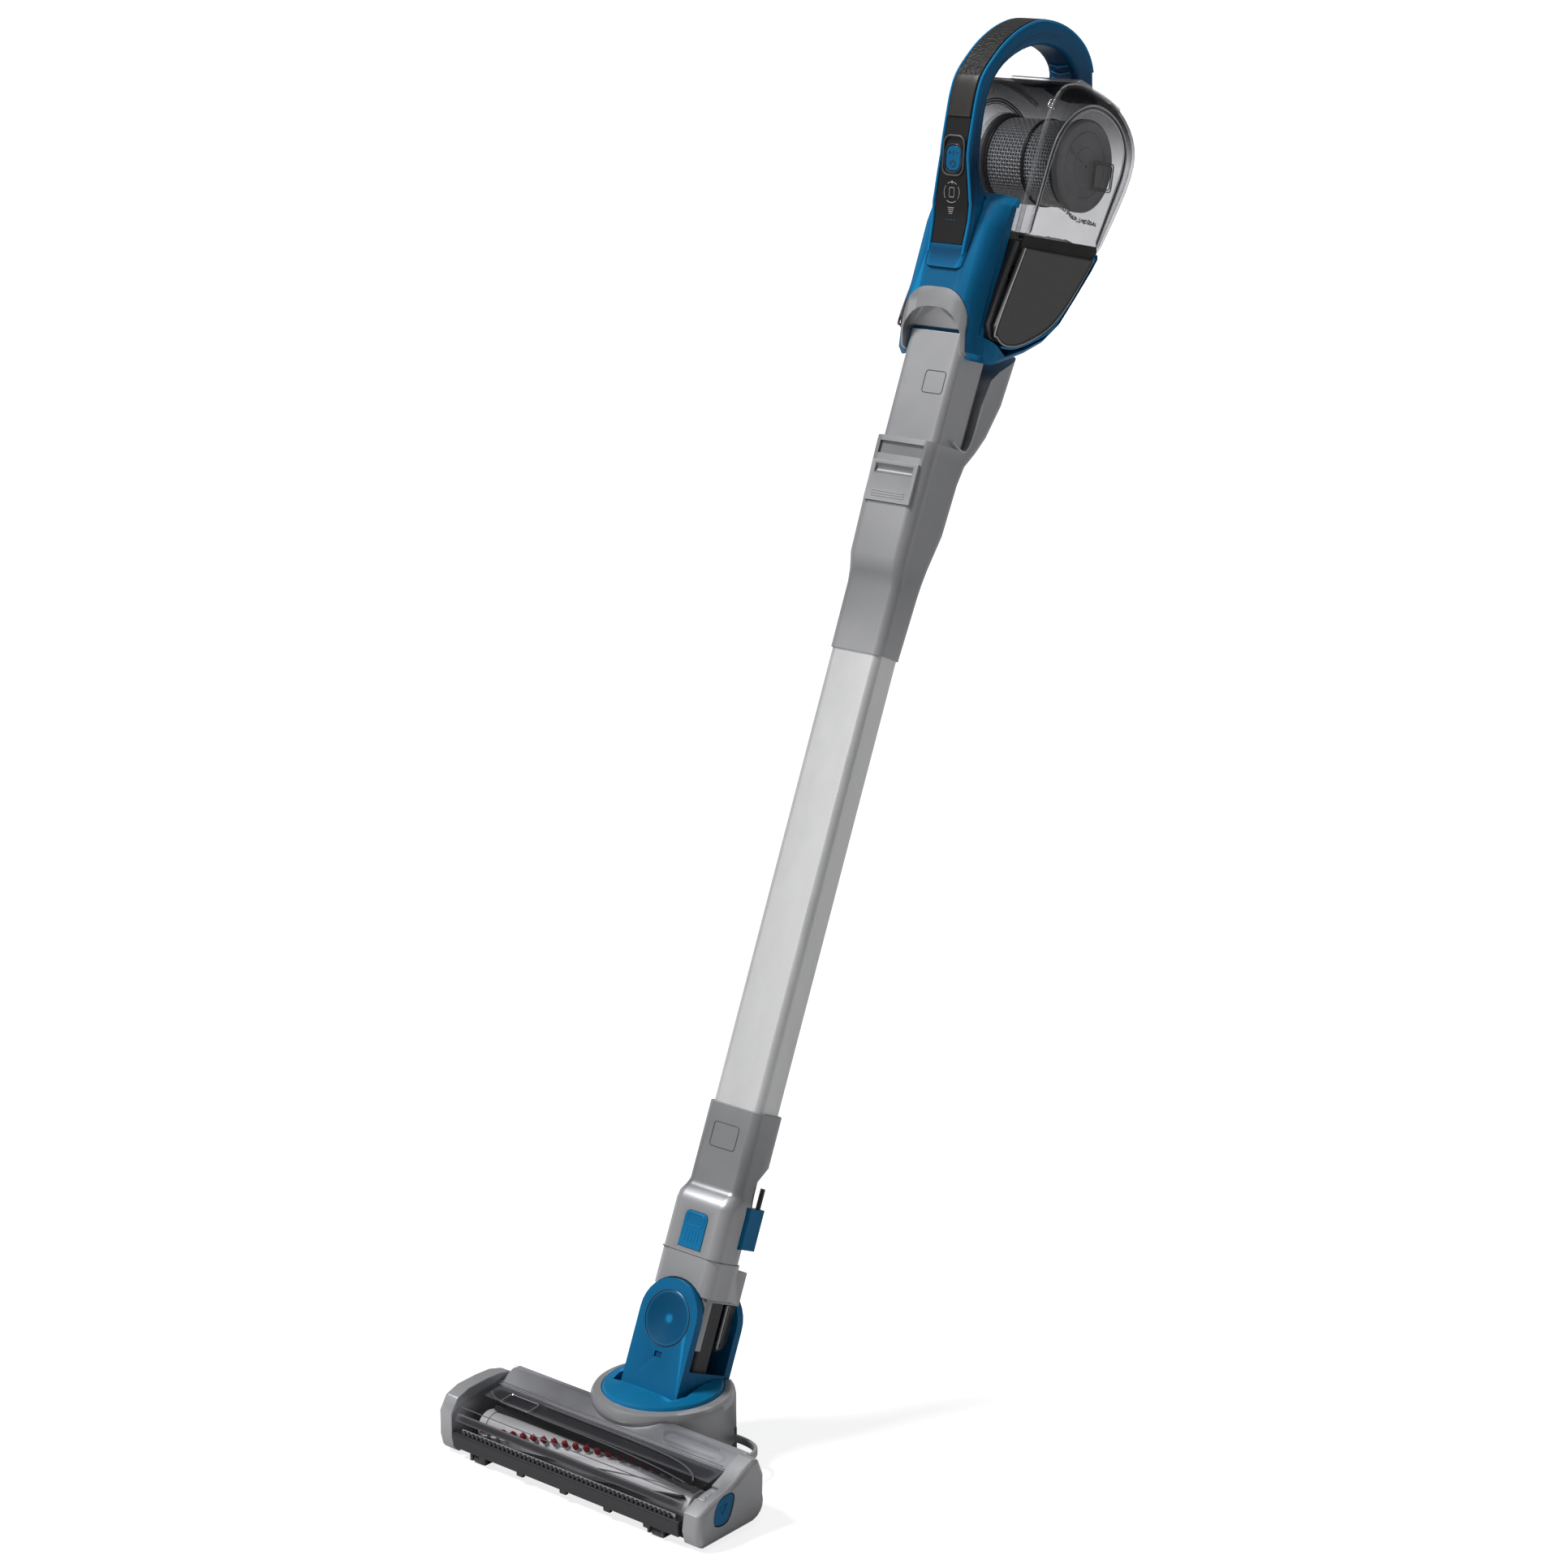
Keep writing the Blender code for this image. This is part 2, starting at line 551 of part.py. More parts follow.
def make_fork(stick):
    def arms(grow=0.0):
        top = arc(0.0, 0.0024, FORK_HALF + grow, 0, 180, 16)
        return top + [(-FORK_HALF - grow, PITCH_S), (FORK_HALF + grow, PITCH_S)]

    centre = (0.0, PITCH_Q, PITCH_S)
    fork = solid("fork", *prism_y(arms(), 0.0, FORK_DEPTH), stick, BLUE, centre)
    drum = solid("fork_drum", *rod_x(PITCH_Q, PITCH_S, DRUM_R, -FORK_HALF, FORK_HALF, 40), stick)
    room = [(0.0400, 0.0500), (-0.0400, 0.0500)] + arc(0.0, 0.0, SCOOP_R, 200, 340, 14)
    slot = solid("fork_room", *prism_y(room, ARM, FORK_DEPTH - ARM), stick)
    duct = solid("fork_duct", *box((-0.0170, 0.0170, -0.1100), (0.0170, 0.0460, -0.0200)), stick)
    bore = solid("fork_bore", *rod_x(PITCH_Q, PITCH_S, 0.0043, -0.05, 0.05), stick)
    holes = solid("cap_holes", *rod_y(0, 0, CAP_R + GAP, -0.01, FORK_DEPTH + 0.01), stick)
    notch = solid("fork_notch", *box((-0.0035, -0.0100, -0.0305), (0.0035, 0.0012, -0.0260)), stick)
    join(fork, drum)
    cut(fork, slot, duct, bore, holes, notch)

    def along_q(along, u, v):
        return u, along, v

    front = [(-0.0002, CAP_R - 0.0008), (0.0004, CAP_R), (ARM - 0.0001, CAP_R), (ARM, 0.0096),
             (0.0128, 0.0096)]
    rear = [(FORK_DEPTH - 0.0100, 0.0096), (FORK_DEPTH - ARM, 0.0096), (FORK_DEPTH - ARM + 0.0001, CAP_R),
            (FORK_DEPTH - 0.0004, CAP_R), (FORK_DEPTH + 0.0002, CAP_R - 0.0008)]
    solid("pivot_cap_front", *stepped_rod(front, along_q, 36), stick, BLUE)
    solid("pivot_cap_rear", *stepped_rod(rear, along_q, 36), stick, BLUE)


def make_neck(stick):
    outer = sleeve([(0.0513, 0.0300, 0.0040, 0.0370, 0.0110), (0.0900, 0.0298, 0.0040, 0.0370, 0.0110),
                    (0.0960, 0.0293, 0.0055, 0.0370, 0.0105), (0.1010, 0.0282, 0.0100, 0.0370, 0.0095),
                    (0.1060, 0.0276, 0.0129, 0.0370, 0.0090), (0.1164, 0.0275, 0.0129, 0.0370, 0.0090),
                    (0.1280, 0.0275, 0.0129, 0.0459, 0.0090), (0.1677, 0.0275, 0.0129, 0.0459, 0.0090),
                    (0.1685, 0.0269, 0.0135, 0.0453, 0.0086)])
    shell = solid("neck_shell", *loft(outer), stick, SILVER)
    tube_room = solid("collar_room", *loft(sleeve([(0.1300, TUBE_HALF + GAP, TUBE_Q0 - GAP, TUBE_Q1 + GAP,
                                                    TUBE_R),
                                                  (0.1750, TUBE_HALF + GAP, TUBE_Q0 - GAP, TUBE_Q1 + GAP,
                                                   TUBE_R)])),
                      stick)
    air = solid("neck_air", *loft(sleeve([(0.0400, 0.0200, 0.0145, 0.0310, 0.0050),
                                         (0.1350, 0.0200, 0.0165, 0.0330, 0.0050)])), stick)
    pocket = solid("neck_button_pocket", *prism_y(neck_button_outline(GAP), -0.01, 0.0118), stick)
    clip_seat = solid("clip_seat", *box((CLIP_X - GAP, CLIP_Q - GAP, 0.0637), (0.0400, 0.0600, 0.0963)),
                      stick)
    pin_way = solid("pin_way", *box((0.0220, 0.0355, 0.0900), (0.0400, 0.0600, 0.1140)), stick)
    cut(shell, tube_room, air, pocket, clip_seat, pin_way)

    solid("neck_button", *prism_y(neck_button_outline(0.0), 0.0034, 0.0075), stick, BLUE, (0.0, 0.0034,
                                                                                           0.0690))
    spring_y("neck_button_spring", stick, (0.0, 0.0690), 0.0078, 0.0115, 0.0040)

    lower = solid("neck_lower_shell", *loft(sleeve([(0.0225, 0.0300, 0.0040, 0.0370, 0.0110),
                                                   (0.0510, 0.0300, 0.0040, 0.0370, 0.0110)])), stick, SILVER)
    block = solid("neck_block", *box((-0.0262, 0.0088, 0.0200), (0.0262, 0.0485, 0.0505)), stick)
    skirt = solid("neck_skirt", *box((-0.0262, 0.0088, -0.0180), (0.0262, 0.0163, 0.0250)), stick)
    scallop = solid("neck_scallop", *rod_y(0, 0, 0.0322, -0.02, 0.0084), stick)
    step = solid("neck_rear_step", *box((-0.04, 0.0370, 0.0465), (0.04, 0.0700, 0.0800)), stick)
    boss = solid("pivot_socket_front", *rod_y(0, 0, 0.0100, 0.0, 0.0135), stick)
    air_low = solid("neck_air_low", *box((-0.0200, 0.0195, 0.0100), (0.0200, 0.0310, 0.0600)), stick)
    join(lower, block, skirt)
    cut(lower, step, scallop, boss, air_low)

    duct = pipe(sleeve([(-0.0350, 0.0240, 0.0167, 0.0345, 0.0030), (0.0197, 0.0240, 0.0167, 0.0345,
                                                                    0.0030)], 3),
                sleeve([(-0.0350, 0.0200, 0.0195, 0.0310, 0.0020), (0.0197, 0.0200, 0.0195, 0.0310,
                                                                    0.0020)], 3))
    solid("neck_duct", *duct, stick, DARK)

    scoop = [(0.0375, 0.0197), (0.0485, 0.0197)] + arc(0.0375, -0.0060, 0.0110, 0, -90, 6)
    cover = solid("duct_cover", *prism_x(scoop, -0.0240, 0.0240), stick, CLEAR)
    room = solid("duct_cover_room", *prism_x([(0.0300, 0.0190), (0.0468, 0.0190), (0.0468, -0.0060),
                                              (0.0440, -0.0125), (0.0300, -0.0145)], -0.0222, 0.0222), stick)
    rear_boss = solid("pivot_socket_rear", *rod_y(0, 0, 0.0100, 0.0450, 0.0600), stick)
    cut(cover, room, rear_boss)

    clip = [(CLIP_X + 0.0030, CLIP_Q), (0.0315, CLIP_Q + 0.0030), (0.0315, 0.0430), (0.0285, 0.0470),
            (CLIP_X, 0.0470), (CLIP_X, CLIP_Q)]
    block = solid("contact_block", *prism_z(clip, 0.0640, 0.0960), stick, BLUE)
    for side, x, q in (("left", 0.0245, 0.0430), ("right", 0.0285, 0.0385)):
        hole = solid("contact_hole_" + side, *prism_z(arc(x, q, 0.0018 + GAP, 0, 330, 11), 0.0800, 0.1100),
                     stick)
        cut(block, hole)
        solid("contact_pin_" + side, *prism_z(arc(x, q, 0.0018, 0, 330, 11), 0.0803, 0.1120), stick, STEEL)


def neck_button_outline(grow):
    """Round-topped outline of the neck's release button in (x, s)."""
    half = 0.0113 + grow
    return [(half, 0.0552 - grow)] + arc(half - 0.0050, 0.0785 + grow, 0.0050, 0, 90, 4) \
        + arc(-half + 0.0050, 0.0785 + grow, 0.0050, 90, 180, 4) + [(-half, 0.0552 - grow)]


def spring_y(name, frame, middle, q0, q1, radius):
    """A short coil spring along q, as a closed wire of 8 sides."""
    wire, turns, per_turn = 0.00035, 2.2, 8
    steps = int(turns * per_turn)
    rings = []
    for k in range(steps + 1):
        turn = 2 * math.pi * turns * k / steps
        q = q0 + wire + (q1 - q0 - 2 * wire) * k / steps
        out = Vector((math.cos(turn), 0.0, math.sin(turn)))
        centre = Vector((middle[0], q, middle[1])) + out * (radius - wire)
        rings.append([tuple(centre + (out * math.cos(a) + Vector((0, 1, 0)) * math.sin(a)) * wire)
                      for a in (math.pi * m / 3 for m in range(6))])
    solid(name, *loft(rings), frame, STEEL)


# ---- wand ----

def make_wand(stick):
    ends = (TUBE_S0, TUBE_S1)
    tube = pipe(sleeve([(s, TUBE_HALF, TUBE_Q0, TUBE_Q1, TUBE_R) for s in ends]),
                sleeve([(s, TUBE_HALF - TUBE_WALL, TUBE_Q0 + TUBE_WALL, TUBE_Q1 - TUBE_WALL,
                         TUBE_R - TUBE_WALL)
                        for s in ends]))
    solid("wand_tube", *tube, stick, ALUMINIUM)

    socket = solid("upper_socket", *loft(sleeve([
        (0.5296, 0.0265, 0.0141, 0.0441, 0.0085), (0.5820, 0.0267, 0.0141, 0.0470, 0.0085),
        (0.5920, 0.0270, 0.0125, 0.0480, 0.0090), (0.6050, 0.0282, 0.0090, 0.0495, 0.0100),
        (0.6330, 0.0290, 0.0085, 0.0562, 0.0110), (0.6740, 0.0298, 0.0080, 0.0573, 0.0110),
        (0.6900, 0.0302, 0.0080, 0.0600, 0.0110), (0.7030, 0.0302, 0.0080, 0.0690, 0.0110),
        (0.7180, 0.0302, 0.0080, 0.0771, 0.0110), (0.7460, 0.0300, 0.0080, 0.0859, 0.0110),
        (0.7900, 0.0295, 0.0080, 0.0905, 0.0110), (0.8100, 0.0295, 0.0080, 0.0905, 0.0110)])), stick, SILVER)
    rim = [(-0.0200, 0.6970), (0.0100, 0.6980), (0.0460, 0.7000), (0.0510, 0.7040), (0.0535, 0.7150),
           (0.0545, 0.7400), (0.0585, 0.7600), (0.0660, 0.7690), (0.0830, 0.7830), (0.1100, 0.8020),
           (0.1100, 0.8300), (-0.0200, 0.8300)]
    rim_cut = solid("socket_rim", *prism_x(rim, -0.06, 0.06), stick)
    tube_room = solid("socket_tube_room", *loft(sleeve([
        (0.5200, TUBE_HALF + GAP, TUBE_Q0 - GAP, TUBE_Q1 + GAP, TUBE_R),
        (0.6000, TUBE_HALF + GAP, TUBE_Q0 - GAP, TUBE_Q1 + GAP, TUBE_R)])), stick)
    air = solid("socket_air", *loft(sleeve([(0.5900, 0.0210, 0.0180, 0.0400, 0.0050),
                                           (0.6400, 0.0210, 0.0180, 0.0440, 0.0050)])), stick)
    nozzle_room = solid("socket_nozzle_room", *loft(sleeve([(0.6295, 0.0283, 0.0144, 0.0515, 0.0073),
                                                           (0.8200, 0.0283, 0.0144, 0.0515, 0.0073)])), stick)
    pocket = solid("socket_button_pocket", *box((-0.0227, -0.0100, 0.6457), (0.0227, 0.0130, 0.6783)), stick)
    finger = solid("socket_finger", *prism_x([(-0.0100, 0.6810), (0.0105, 0.6840), (0.0105, 0.6935),
                                              (-0.0100, 0.6945)], -0.0215, 0.0215), stick)
    cut(socket, rim_cut, tube_room, air, nozzle_room, pocket, finger)
    button = solid("socket_button", *box((-0.0224, 0.0064, 0.6460), (0.0224, 0.0098, 0.6780)), stick, SILVER,
                   (0.0, 0.0064, 0.6620))
    groove = solid("button_groove", *prism_x(arc(0.0045, 0.6715, 0.0042, 0, 360 - 30, 11), -0.0185,
                                             0.0185), stick)
    cut(button, groove)
    spring_y("socket_button_spring", stick, (0.0, 0.6580), 0.0101, 0.0127, 0.0050)


# ---- hand unit ----

BODY_SIDE = [(0.0105, 0.7715), (0.0045, 0.7850), (0.0018, 0.8080), (0.0016, 0.8400), (0.0016, 0.8680),
             (0.0050, 0.8880), (0.0140, 0.8970), (0.0230, 0.8930), (0.0262, 0.8810), (0.0262, 0.8660),
             (0.1360, 0.8865), (0.1290, 0.8690), (0.1175, 0.8440), (0.1060, 0.8200), (0.0900, 0.8010),
             (0.0700, 0.7865), (0.0450, 0.7725), (0.0230, 0.7672)]
CROWN = ((0.0160, 0.0008), (0.0260, 0.0030), (0.0310, 0.0060), (0.0360, 0.0125), (0.0415, 0.0200),
         (0.0475, 0.0280))


def handle_lines():
    """Front and back lines of the handle loop in (q, s), both running from its root over the top."""
    front = [(0.0000, 0.8320), (-0.0004, 0.8430), (-0.0012, 0.8500), (-0.0040, 0.8690), (-0.0095, 0.8860),
             (-0.0160, 0.9040), (-0.0212, 0.9210), (-0.0250, 0.9440), (-0.0272, 0.9620), (-0.0264, 0.9760),
             (-0.0210, 0.9900), (-0.0095, 1.0095), (0.0072, 1.0275), (0.0270, 1.0402), (0.0505, 1.0460),
             (0.0730, 1.0455), (0.0930, 1.0392), (0.1080, 1.0260), (0.1190, 1.0036)]
    back = [(0.0125, 0.8320), (0.0125, 0.8430), (0.0130, 0.8500), (0.0170, 0.8690), (0.0180, 0.8830),
            (0.0085, 0.8965), (-0.0010, 0.9120), (-0.0085, 0.9380), (-0.0120, 0.9600), (-0.0112, 0.9740),
            (-0.0065, 0.9870), (0.0015, 0.9985), (0.0150, 1.0110), (0.0320, 1.0210), (0.0500, 1.0260),
            (0.0665, 1.0260), (0.0790, 1.0215), (0.0860, 1.0150), (0.0895, 1.0036)]
    return front, back


def handle_width(s):
    """Width of the handle at height s, as a share of HANDLE_HALF."""
    if s > 0.915:
        return 1.0
    if s > 0.880:
        return 1.0 + 0.40 * (0.915 - s) / 0.035
    return 1.40 - 0.15 * (0.880 - s) / 0.048


def handle_outline(steps=2):
    front, back = handle_lines()
    sides = []
    for line in (front, back):
        line = smooth(line, steps, closed=False)
        sides.append([line[0]] + line[2:-2] + [line[-1]])
    return sides[0] + sides[1][::-1]


def band(start, end, depth, proud):
    """Outline of a strip let into the front line of the handle between two of its points."""
    front, _ = handle_lines()
    line = smooth(front, 3, closed=False)[3 * start:3 * end + 1]
    outer, inner = [], []
    for i, (q, s) in enumerate(line):
        along = (Vector(line[min(i + 1, len(line) - 1)]) - Vector(line[max(i - 1, 0)])).normalized()
        out = Vector((-along.y, along.x))
        outer.append((q + out.x * proud, s + out.y * proud))
        inner.append((q - out.x * depth, s - out.y * depth))
    return outer + inner[::-1]


def make_hand_unit(stick):
    body = solid("handheld_body", *pillow(BODY_SIDE, HAND_HALF, 0.0060, CROWN), stick, BLUE)
    shoulder = [(0.0060, 0.9200), (0.0060, 0.7980), (0.0150, 0.7868), (0.0300, 0.7838), (0.0300, 0.8600),
                (0.0600, 0.8663), (0.0600, 0.9200)]
    for side, sign in (("left", -1), ("right", 1)):
        ends = sorted((sign * SHOULDER_HALF, sign * 0.0620))
        cut(body, solid("shoulder_room_" + side, *prism_x(shoulder, *ends), stick))
    opening = [(0.0245, 0.8500), (0.0205, 0.7960), (0.0260, 0.7850), (0.0450, 0.7775), (0.0690, 0.7905),
               (0.0880, 0.8040), (0.1035, 0.8225), (0.1148, 0.8455), (0.1262, 0.8700), (0.1500, 0.9100),
               (0.0245, 0.8900)]
    side_room = solid("side_room", *prism_x(opening, -0.0600, 0.0600), stick)
    handle_room = solid("handle_room", *pillow(handle_outline(), HANDLE_HALF, HANDLE_EDGE, grow=GAP + 0.0002,
                                               width=handle_width), stick)
    arch = arch_outline(0.0312 + GAP, 0.8165 + GAP)
    arch_room = solid("arch_room", *prism_y(arch, -0.0300, 0.0190), stick)
    nozzle_room = solid("nozzle_room", *loft(sleeve([(0.7000, 0.0282, 0.0143, 0.0520, 0.0074),
                                                    (0.7855, 0.0282, 0.0143, 0.0520, 0.0074)])), stick)
    bowl_seat = solid("bowl_seat", *pillow(bowl_outline(), BOWL_HALF, BOWL_EDGE, grow=GAP), stick)
    cut(body, side_room, handle_room, arch_room, nozzle_room, bowl_seat)

    cover = solid("nozzle_cover", *prism_y(arch_outline(0.0312, 0.8165), -0.0300, 0.0187), stick, SILVER)
    skin = solid("cover_skin", *pillow(BODY_SIDE, HAND_HALF, 0.0060, CROWN, grow=0.0010), stick)
    inner = arch_outline(0.0284, 0.8010)
    deep = arch_outline(0.0284, 0.7880, 0.0040)
    recess = loft([[(x, y, s) for x, s in line] for line, y in ((inner, -0.0310), (inner, 0.0040), (deep,
                                                                                                    0.0140),
                                                               (deep, 0.0300))])
    combine(cover, skin, "INTERSECT")
    cut(cover, solid("cover_recess", *recess, stick))

    nozzle = pipe(sleeve([(0.6300, 0.0272, 0.0155, 0.0490, 0.0065), (0.6450, 0.0278, 0.0147, 0.0500, 0.0070),
                          (0.7500, 0.0278, 0.0147, 0.0510, 0.0070), (0.7850, 0.0278, 0.0147, 0.0515,
                                                                     0.0070)]),
                  sleeve([(0.6300, 0.0252, 0.0175, 0.0470, 0.0045), (0.6450, 0.0256, 0.0170, 0.0477, 0.0048),
                          (0.7500, 0.0256, 0.0170, 0.0487, 0.0048), (0.7850, 0.0256, 0.0170, 0.0492,
                                                                     0.0048)]))
    solid("nozzle_duct", *nozzle, stick, SILVER)

    chassis = [(0.0249, 0.8500), (0.0209, 0.7962), (0.0262, 0.7859), (0.0450, 0.7862), (0.0690, 0.7912),
               (0.0878, 0.8046), (0.1031, 0.8229), (0.1143, 0.8457), (0.1255, 0.8700), (0.1300, 0.8846),
               (0.0268, 0.8654)]
    inner_case = solid("motor_case", *prism_x(chassis, -0.0437, 0.0437), stick, BLACK)
    cells = [(0.0860, 0.8085), (0.0995, 0.8262), (0.1105, 0.8475), (0.1215, 0.8720), (0.1180, 0.8780),
             (0.0860, 0.8720)]
    cell_room = solid("battery_room", *prism_x(inset(cells, -GAP), -0.0600, 0.0400), stick)
    cut(inner_case, solid("fan_bore", *rod_x(FAN_Q, FAN_S, FAN_BORE, -0.06, 0.06, 36), stick), cell_room)
    solid("battery_pack", *prism_x(cells, -0.0430, 0.0396), stick, SILVER)

    panel = [(0.0350, 0.8620), (0.0245, 0.7960), (0.0285, 0.7880), (0.0400, 0.7850), (0.0560, 0.7890),
             (0.0760, 0.8010), (0.0920, 0.8150), (0.1040, 0.8330), (0.1150, 0.8560), (0.1245, 0.8790)]
    for side, sign in (("left", -1), ("right", 1)):
        rings = []
        for x, depth in ((0.0440, 0.0), (0.0470, 0.0), (0.0480, 0.0010)):
            rings.append([(sign * x, q, s) for q, s in inset(panel, depth)])
        solid("side_panel_" + side, *loft(rings), stick, DARK)

    def fan_axis(along, u, v):
        return along, FAN_Q + u, FAN_S + v

    motor = solid("suction_motor", *stepped_rod([(-0.0430, 0.0200), (-0.0400, 0.0235), (0.0060, 0.0235),
                                                 (0.0080, 0.0200)], fan_axis, 32), stick, STEEL)
    cut(motor, solid("suction_motor_bore", *stepped_rod([(-0.0300, 0.0028), (0.0200, 0.0028)], fan_axis,
                                                        16), stick))
    fan = solid("impeller", *stepped_rod([(-0.0200, 0.0025), (0.0140, 0.0025), (0.0141, 0.0240), (0.0160,
                                                                                                  0.0240),
                                         (0.0161, 0.0060), (0.0380, 0.0060)], fan_axis, 32), stick, WHITE,
                (0.0, FAN_Q, FAN_S))
    for k in range(9):
        turn = 2 * math.pi * k / 9
        along = Vector((math.cos(turn), math.sin(turn)))
        across = Vector((-along.y, along.x)) * 0.0007
        foot, tip = along * 0.0050, along * 0.0240 + across * 6
        ring = [foot - across, foot + across, tip + across, tip - across]
        blade = loft([[(x, FAN_Q + p.x, FAN_S + p.y) for p in ring] for x in (0.0150, 0.0320)])
        join(fan, solid(f"fan_blade_{k}", *blade, stick))
    make_bowl(stick)
    make_handle(stick)


def arch_outline(half, top, radius=0.0240, foot=0.7550):
    """A round-cornered arch in (x, s) whose legs end below the hand unit."""
    return ([(half, foot)] + arc(half - radius, top - radius, radius, 0, 90, 7)
            + arc(radius - half, top - radius, radius, 90, 180, 7) + [(-half, foot)])


def door_outline():
    """Teardrop outline of the bowl's side door in (q, s), its straight edge along the hinge."""
    top = [(0.0352, 0.9022), (0.0366, 0.9415), (0.0415, 0.9595), (0.0502, 0.9734), (0.0626, 0.9841),
           (0.0752, 0.9898), (0.0905, 0.9914), (0.1077, 0.9884), (0.1220, 0.9810), (0.1315, 0.9690),
           (0.1340, 0.9540), (0.1325, 0.9385)]
    return [(0.0345, 0.8722)] + top + [(0.1235, 0.8895)]


def bowl_outline():
    side = [(0.0268, 0.8668), (0.0268, 0.9000), (0.0268, 0.9400), (0.0290, 0.9700), (0.0360, 0.9900),
            (0.0500, 0.9990), (0.0700, 1.0028), (0.0950, 1.0030), (0.1150, 1.0005), (0.1325, 0.9930),
            (0.1465, 0.9800), (0.1525, 0.9630), (0.1508, 0.9400), (0.1440, 0.9130), (0.1362, 0.8873)]
    return [side[0]] + smooth(side[2:-1], 2, closed=False) + [side[-1]]


def make_bowl(stick):
    bowl = solid("dust_bowl", *pillow(bowl_outline(), BOWL_HALF, BOWL_EDGE), stick, CLEAR)
    room_side = inset(bowl_outline(), 0.0022)
    room_side[0] = (0.0290, 0.8400)
    room_side[-1] = (0.1250, 0.8500)
    room = solid("bowl_room", *pillow(room_side, BOWL_HALF - 0.0022, 0.0100), stick)
    doorway = solid("bowl_doorway", *prism_x(inset(door_outline(), -GAP), 0.0400, 0.0600), stick)
    cut(bowl, room, doorway)
    solid("bowl_door", *prism_x(door_outline(), BOWL_HALF - 0.0022, BOWL_HALF - 0.0002), stick, CLEAR,
          (BOWL_HALF + 0.0004, 0.0790, 0.8803))

    def on_filter(along, u, v):
        return along, FILTER_Q + u, FILTER_S + v

    def filter_rings(radius):
        return [[on_filter(along, radius * math.cos(math.pi * k / 18), radius * math.sin(math.pi * k / 18))
                 for k in range(36)] for along in (-0.0300, 0.0368)]

    end_cap = [(0.0372, 0.0345), (0.0380, 0.0362), (0.0430, 0.0362), (0.0446, 0.0340)]
    solid("filter_end_cap", *stepped_rod(end_cap, on_filter, 36), stick, DARK)
    solid("filter_mesh", *pipe(filter_rings(FILTER_R), filter_rings(FILTER_R - 0.0015)), stick, DARK)
    end_disc = [(-0.0455, 0.0120), (-0.0371, 0.0120), (-0.0370, 0.0340), (-0.0350, 0.0362), (-0.0320, 0.0362),
                (-0.0304, 0.0345)]
    solid("filter_frame", *stepped_rod(end_disc, on_filter, 36), stick, SMOKE)
    latch = [(0.0660, 1.0036), (0.0665, 1.0056), (0.0690, 1.0072), (0.0830, 1.0072), (0.0855, 1.0056),
             (0.0860, 1.0036)]
    solid("bowl_latch", *prism_x(latch, -0.0340, 0.0340), stick, SILVER, (0.0, 0.0760, 1.0036))


def make_handle(stick):
    handle = solid("handle_shell", *pillow(handle_outline(), HANDLE_HALF, HANDLE_EDGE, width=handle_width),
                   stick, DEEP_BLUE)
    flange = loft(sleeve([(1.0035, 0.0170, 0.0872, 0.1215, 0.0060), (1.0060, 0.0170, 0.0872, 0.1215, 0.0060),
                          (1.0080, 0.0155, 0.0885, 0.1200, 0.0060)]))
    join(handle, solid("handle_flange", *flange, stick))
    trough = solid("grip_trough", *pillow(inset(band(2, 14, 0.0025, 0.0100), -0.00013),
                                          HANDLE_HALF - 0.0028, 0.0004, width=handle_width), stick)
    cut(handle, trough)
    panel = solid("control_panel", *pillow(inset(band(2, 7, 0.0026, 0.0), 0.0003), HANDLE_HALF - 0.0032,
                                           0.0005, width=handle_width), stick, BLACK)
    solid("handle_grip", *pillow(inset(band(7, 14, 0.0026, 0.0007), 0.0003), HANDLE_HALF - 0.0032,
                                 0.0007, width=handle_width), stick, RUBBER)

    # The power button sits in a pocket square to the handle's front face.
    middle, tilt = Vector((0.0, -0.0187, 0.9125)), math.radians(17.5)
    place = Matrix.Translation(middle) @ Matrix.Rotation(tilt, 4, "X")

    def seated(half, high, radius, front, rear):
        outline = []
        for k, (x, s) in enumerate(((1, 1), (-1, 1), (-1, -1), (1, -1))):
            outline += arc(x * (half - radius), s * (high - radius), radius, 90 * k, 90 * k + 90, 4)
        verts, faces = prism_y(outline, front, rear)
        return [tuple(place @ Vector(v)) for v in verts], faces

    hole = solid("power_button_hole", *seated(0.0074, 0.0100, 0.0060, -0.0100, 0.0072), stick)
    cut(panel, hole)
    cut(handle, hole)
    solid("power_button", *seated(0.0070, 0.0096, 0.0056, -0.0006, 0.0042), stick, BLUE, tuple(middle))
    cell = solid("board_room", *box((-0.0300, 0.0010, 0.8700), (0.0110, 0.0100, 0.8870)), stick)
    cut(handle, cell)
    solid("circuit_board", *box((-0.0120, 0.0045, 0.8704), (0.0106, 0.0061, 0.8866)), stick, DEEP_BLUE)


def build():
    clear_scene()
    head = empty("HEAD", (0.0, -FOOT_MIDDLE, 0.0))
    stick = empty("STICK", (SWIVEL[0], SWIVEL[1] - FOOT_MIDDLE, SWIVEL[2]), -LEAN)
    make_head(head)
    make_brush(head)
    make_wheels(head)
    make_fork(stick)
    make_neck(stick)
    make_wand(stick)
    make_hand_unit(stick)


build()
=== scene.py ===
import json
import math
import random

import bmesh
import bpy
from mathutils import Matrix, Vector

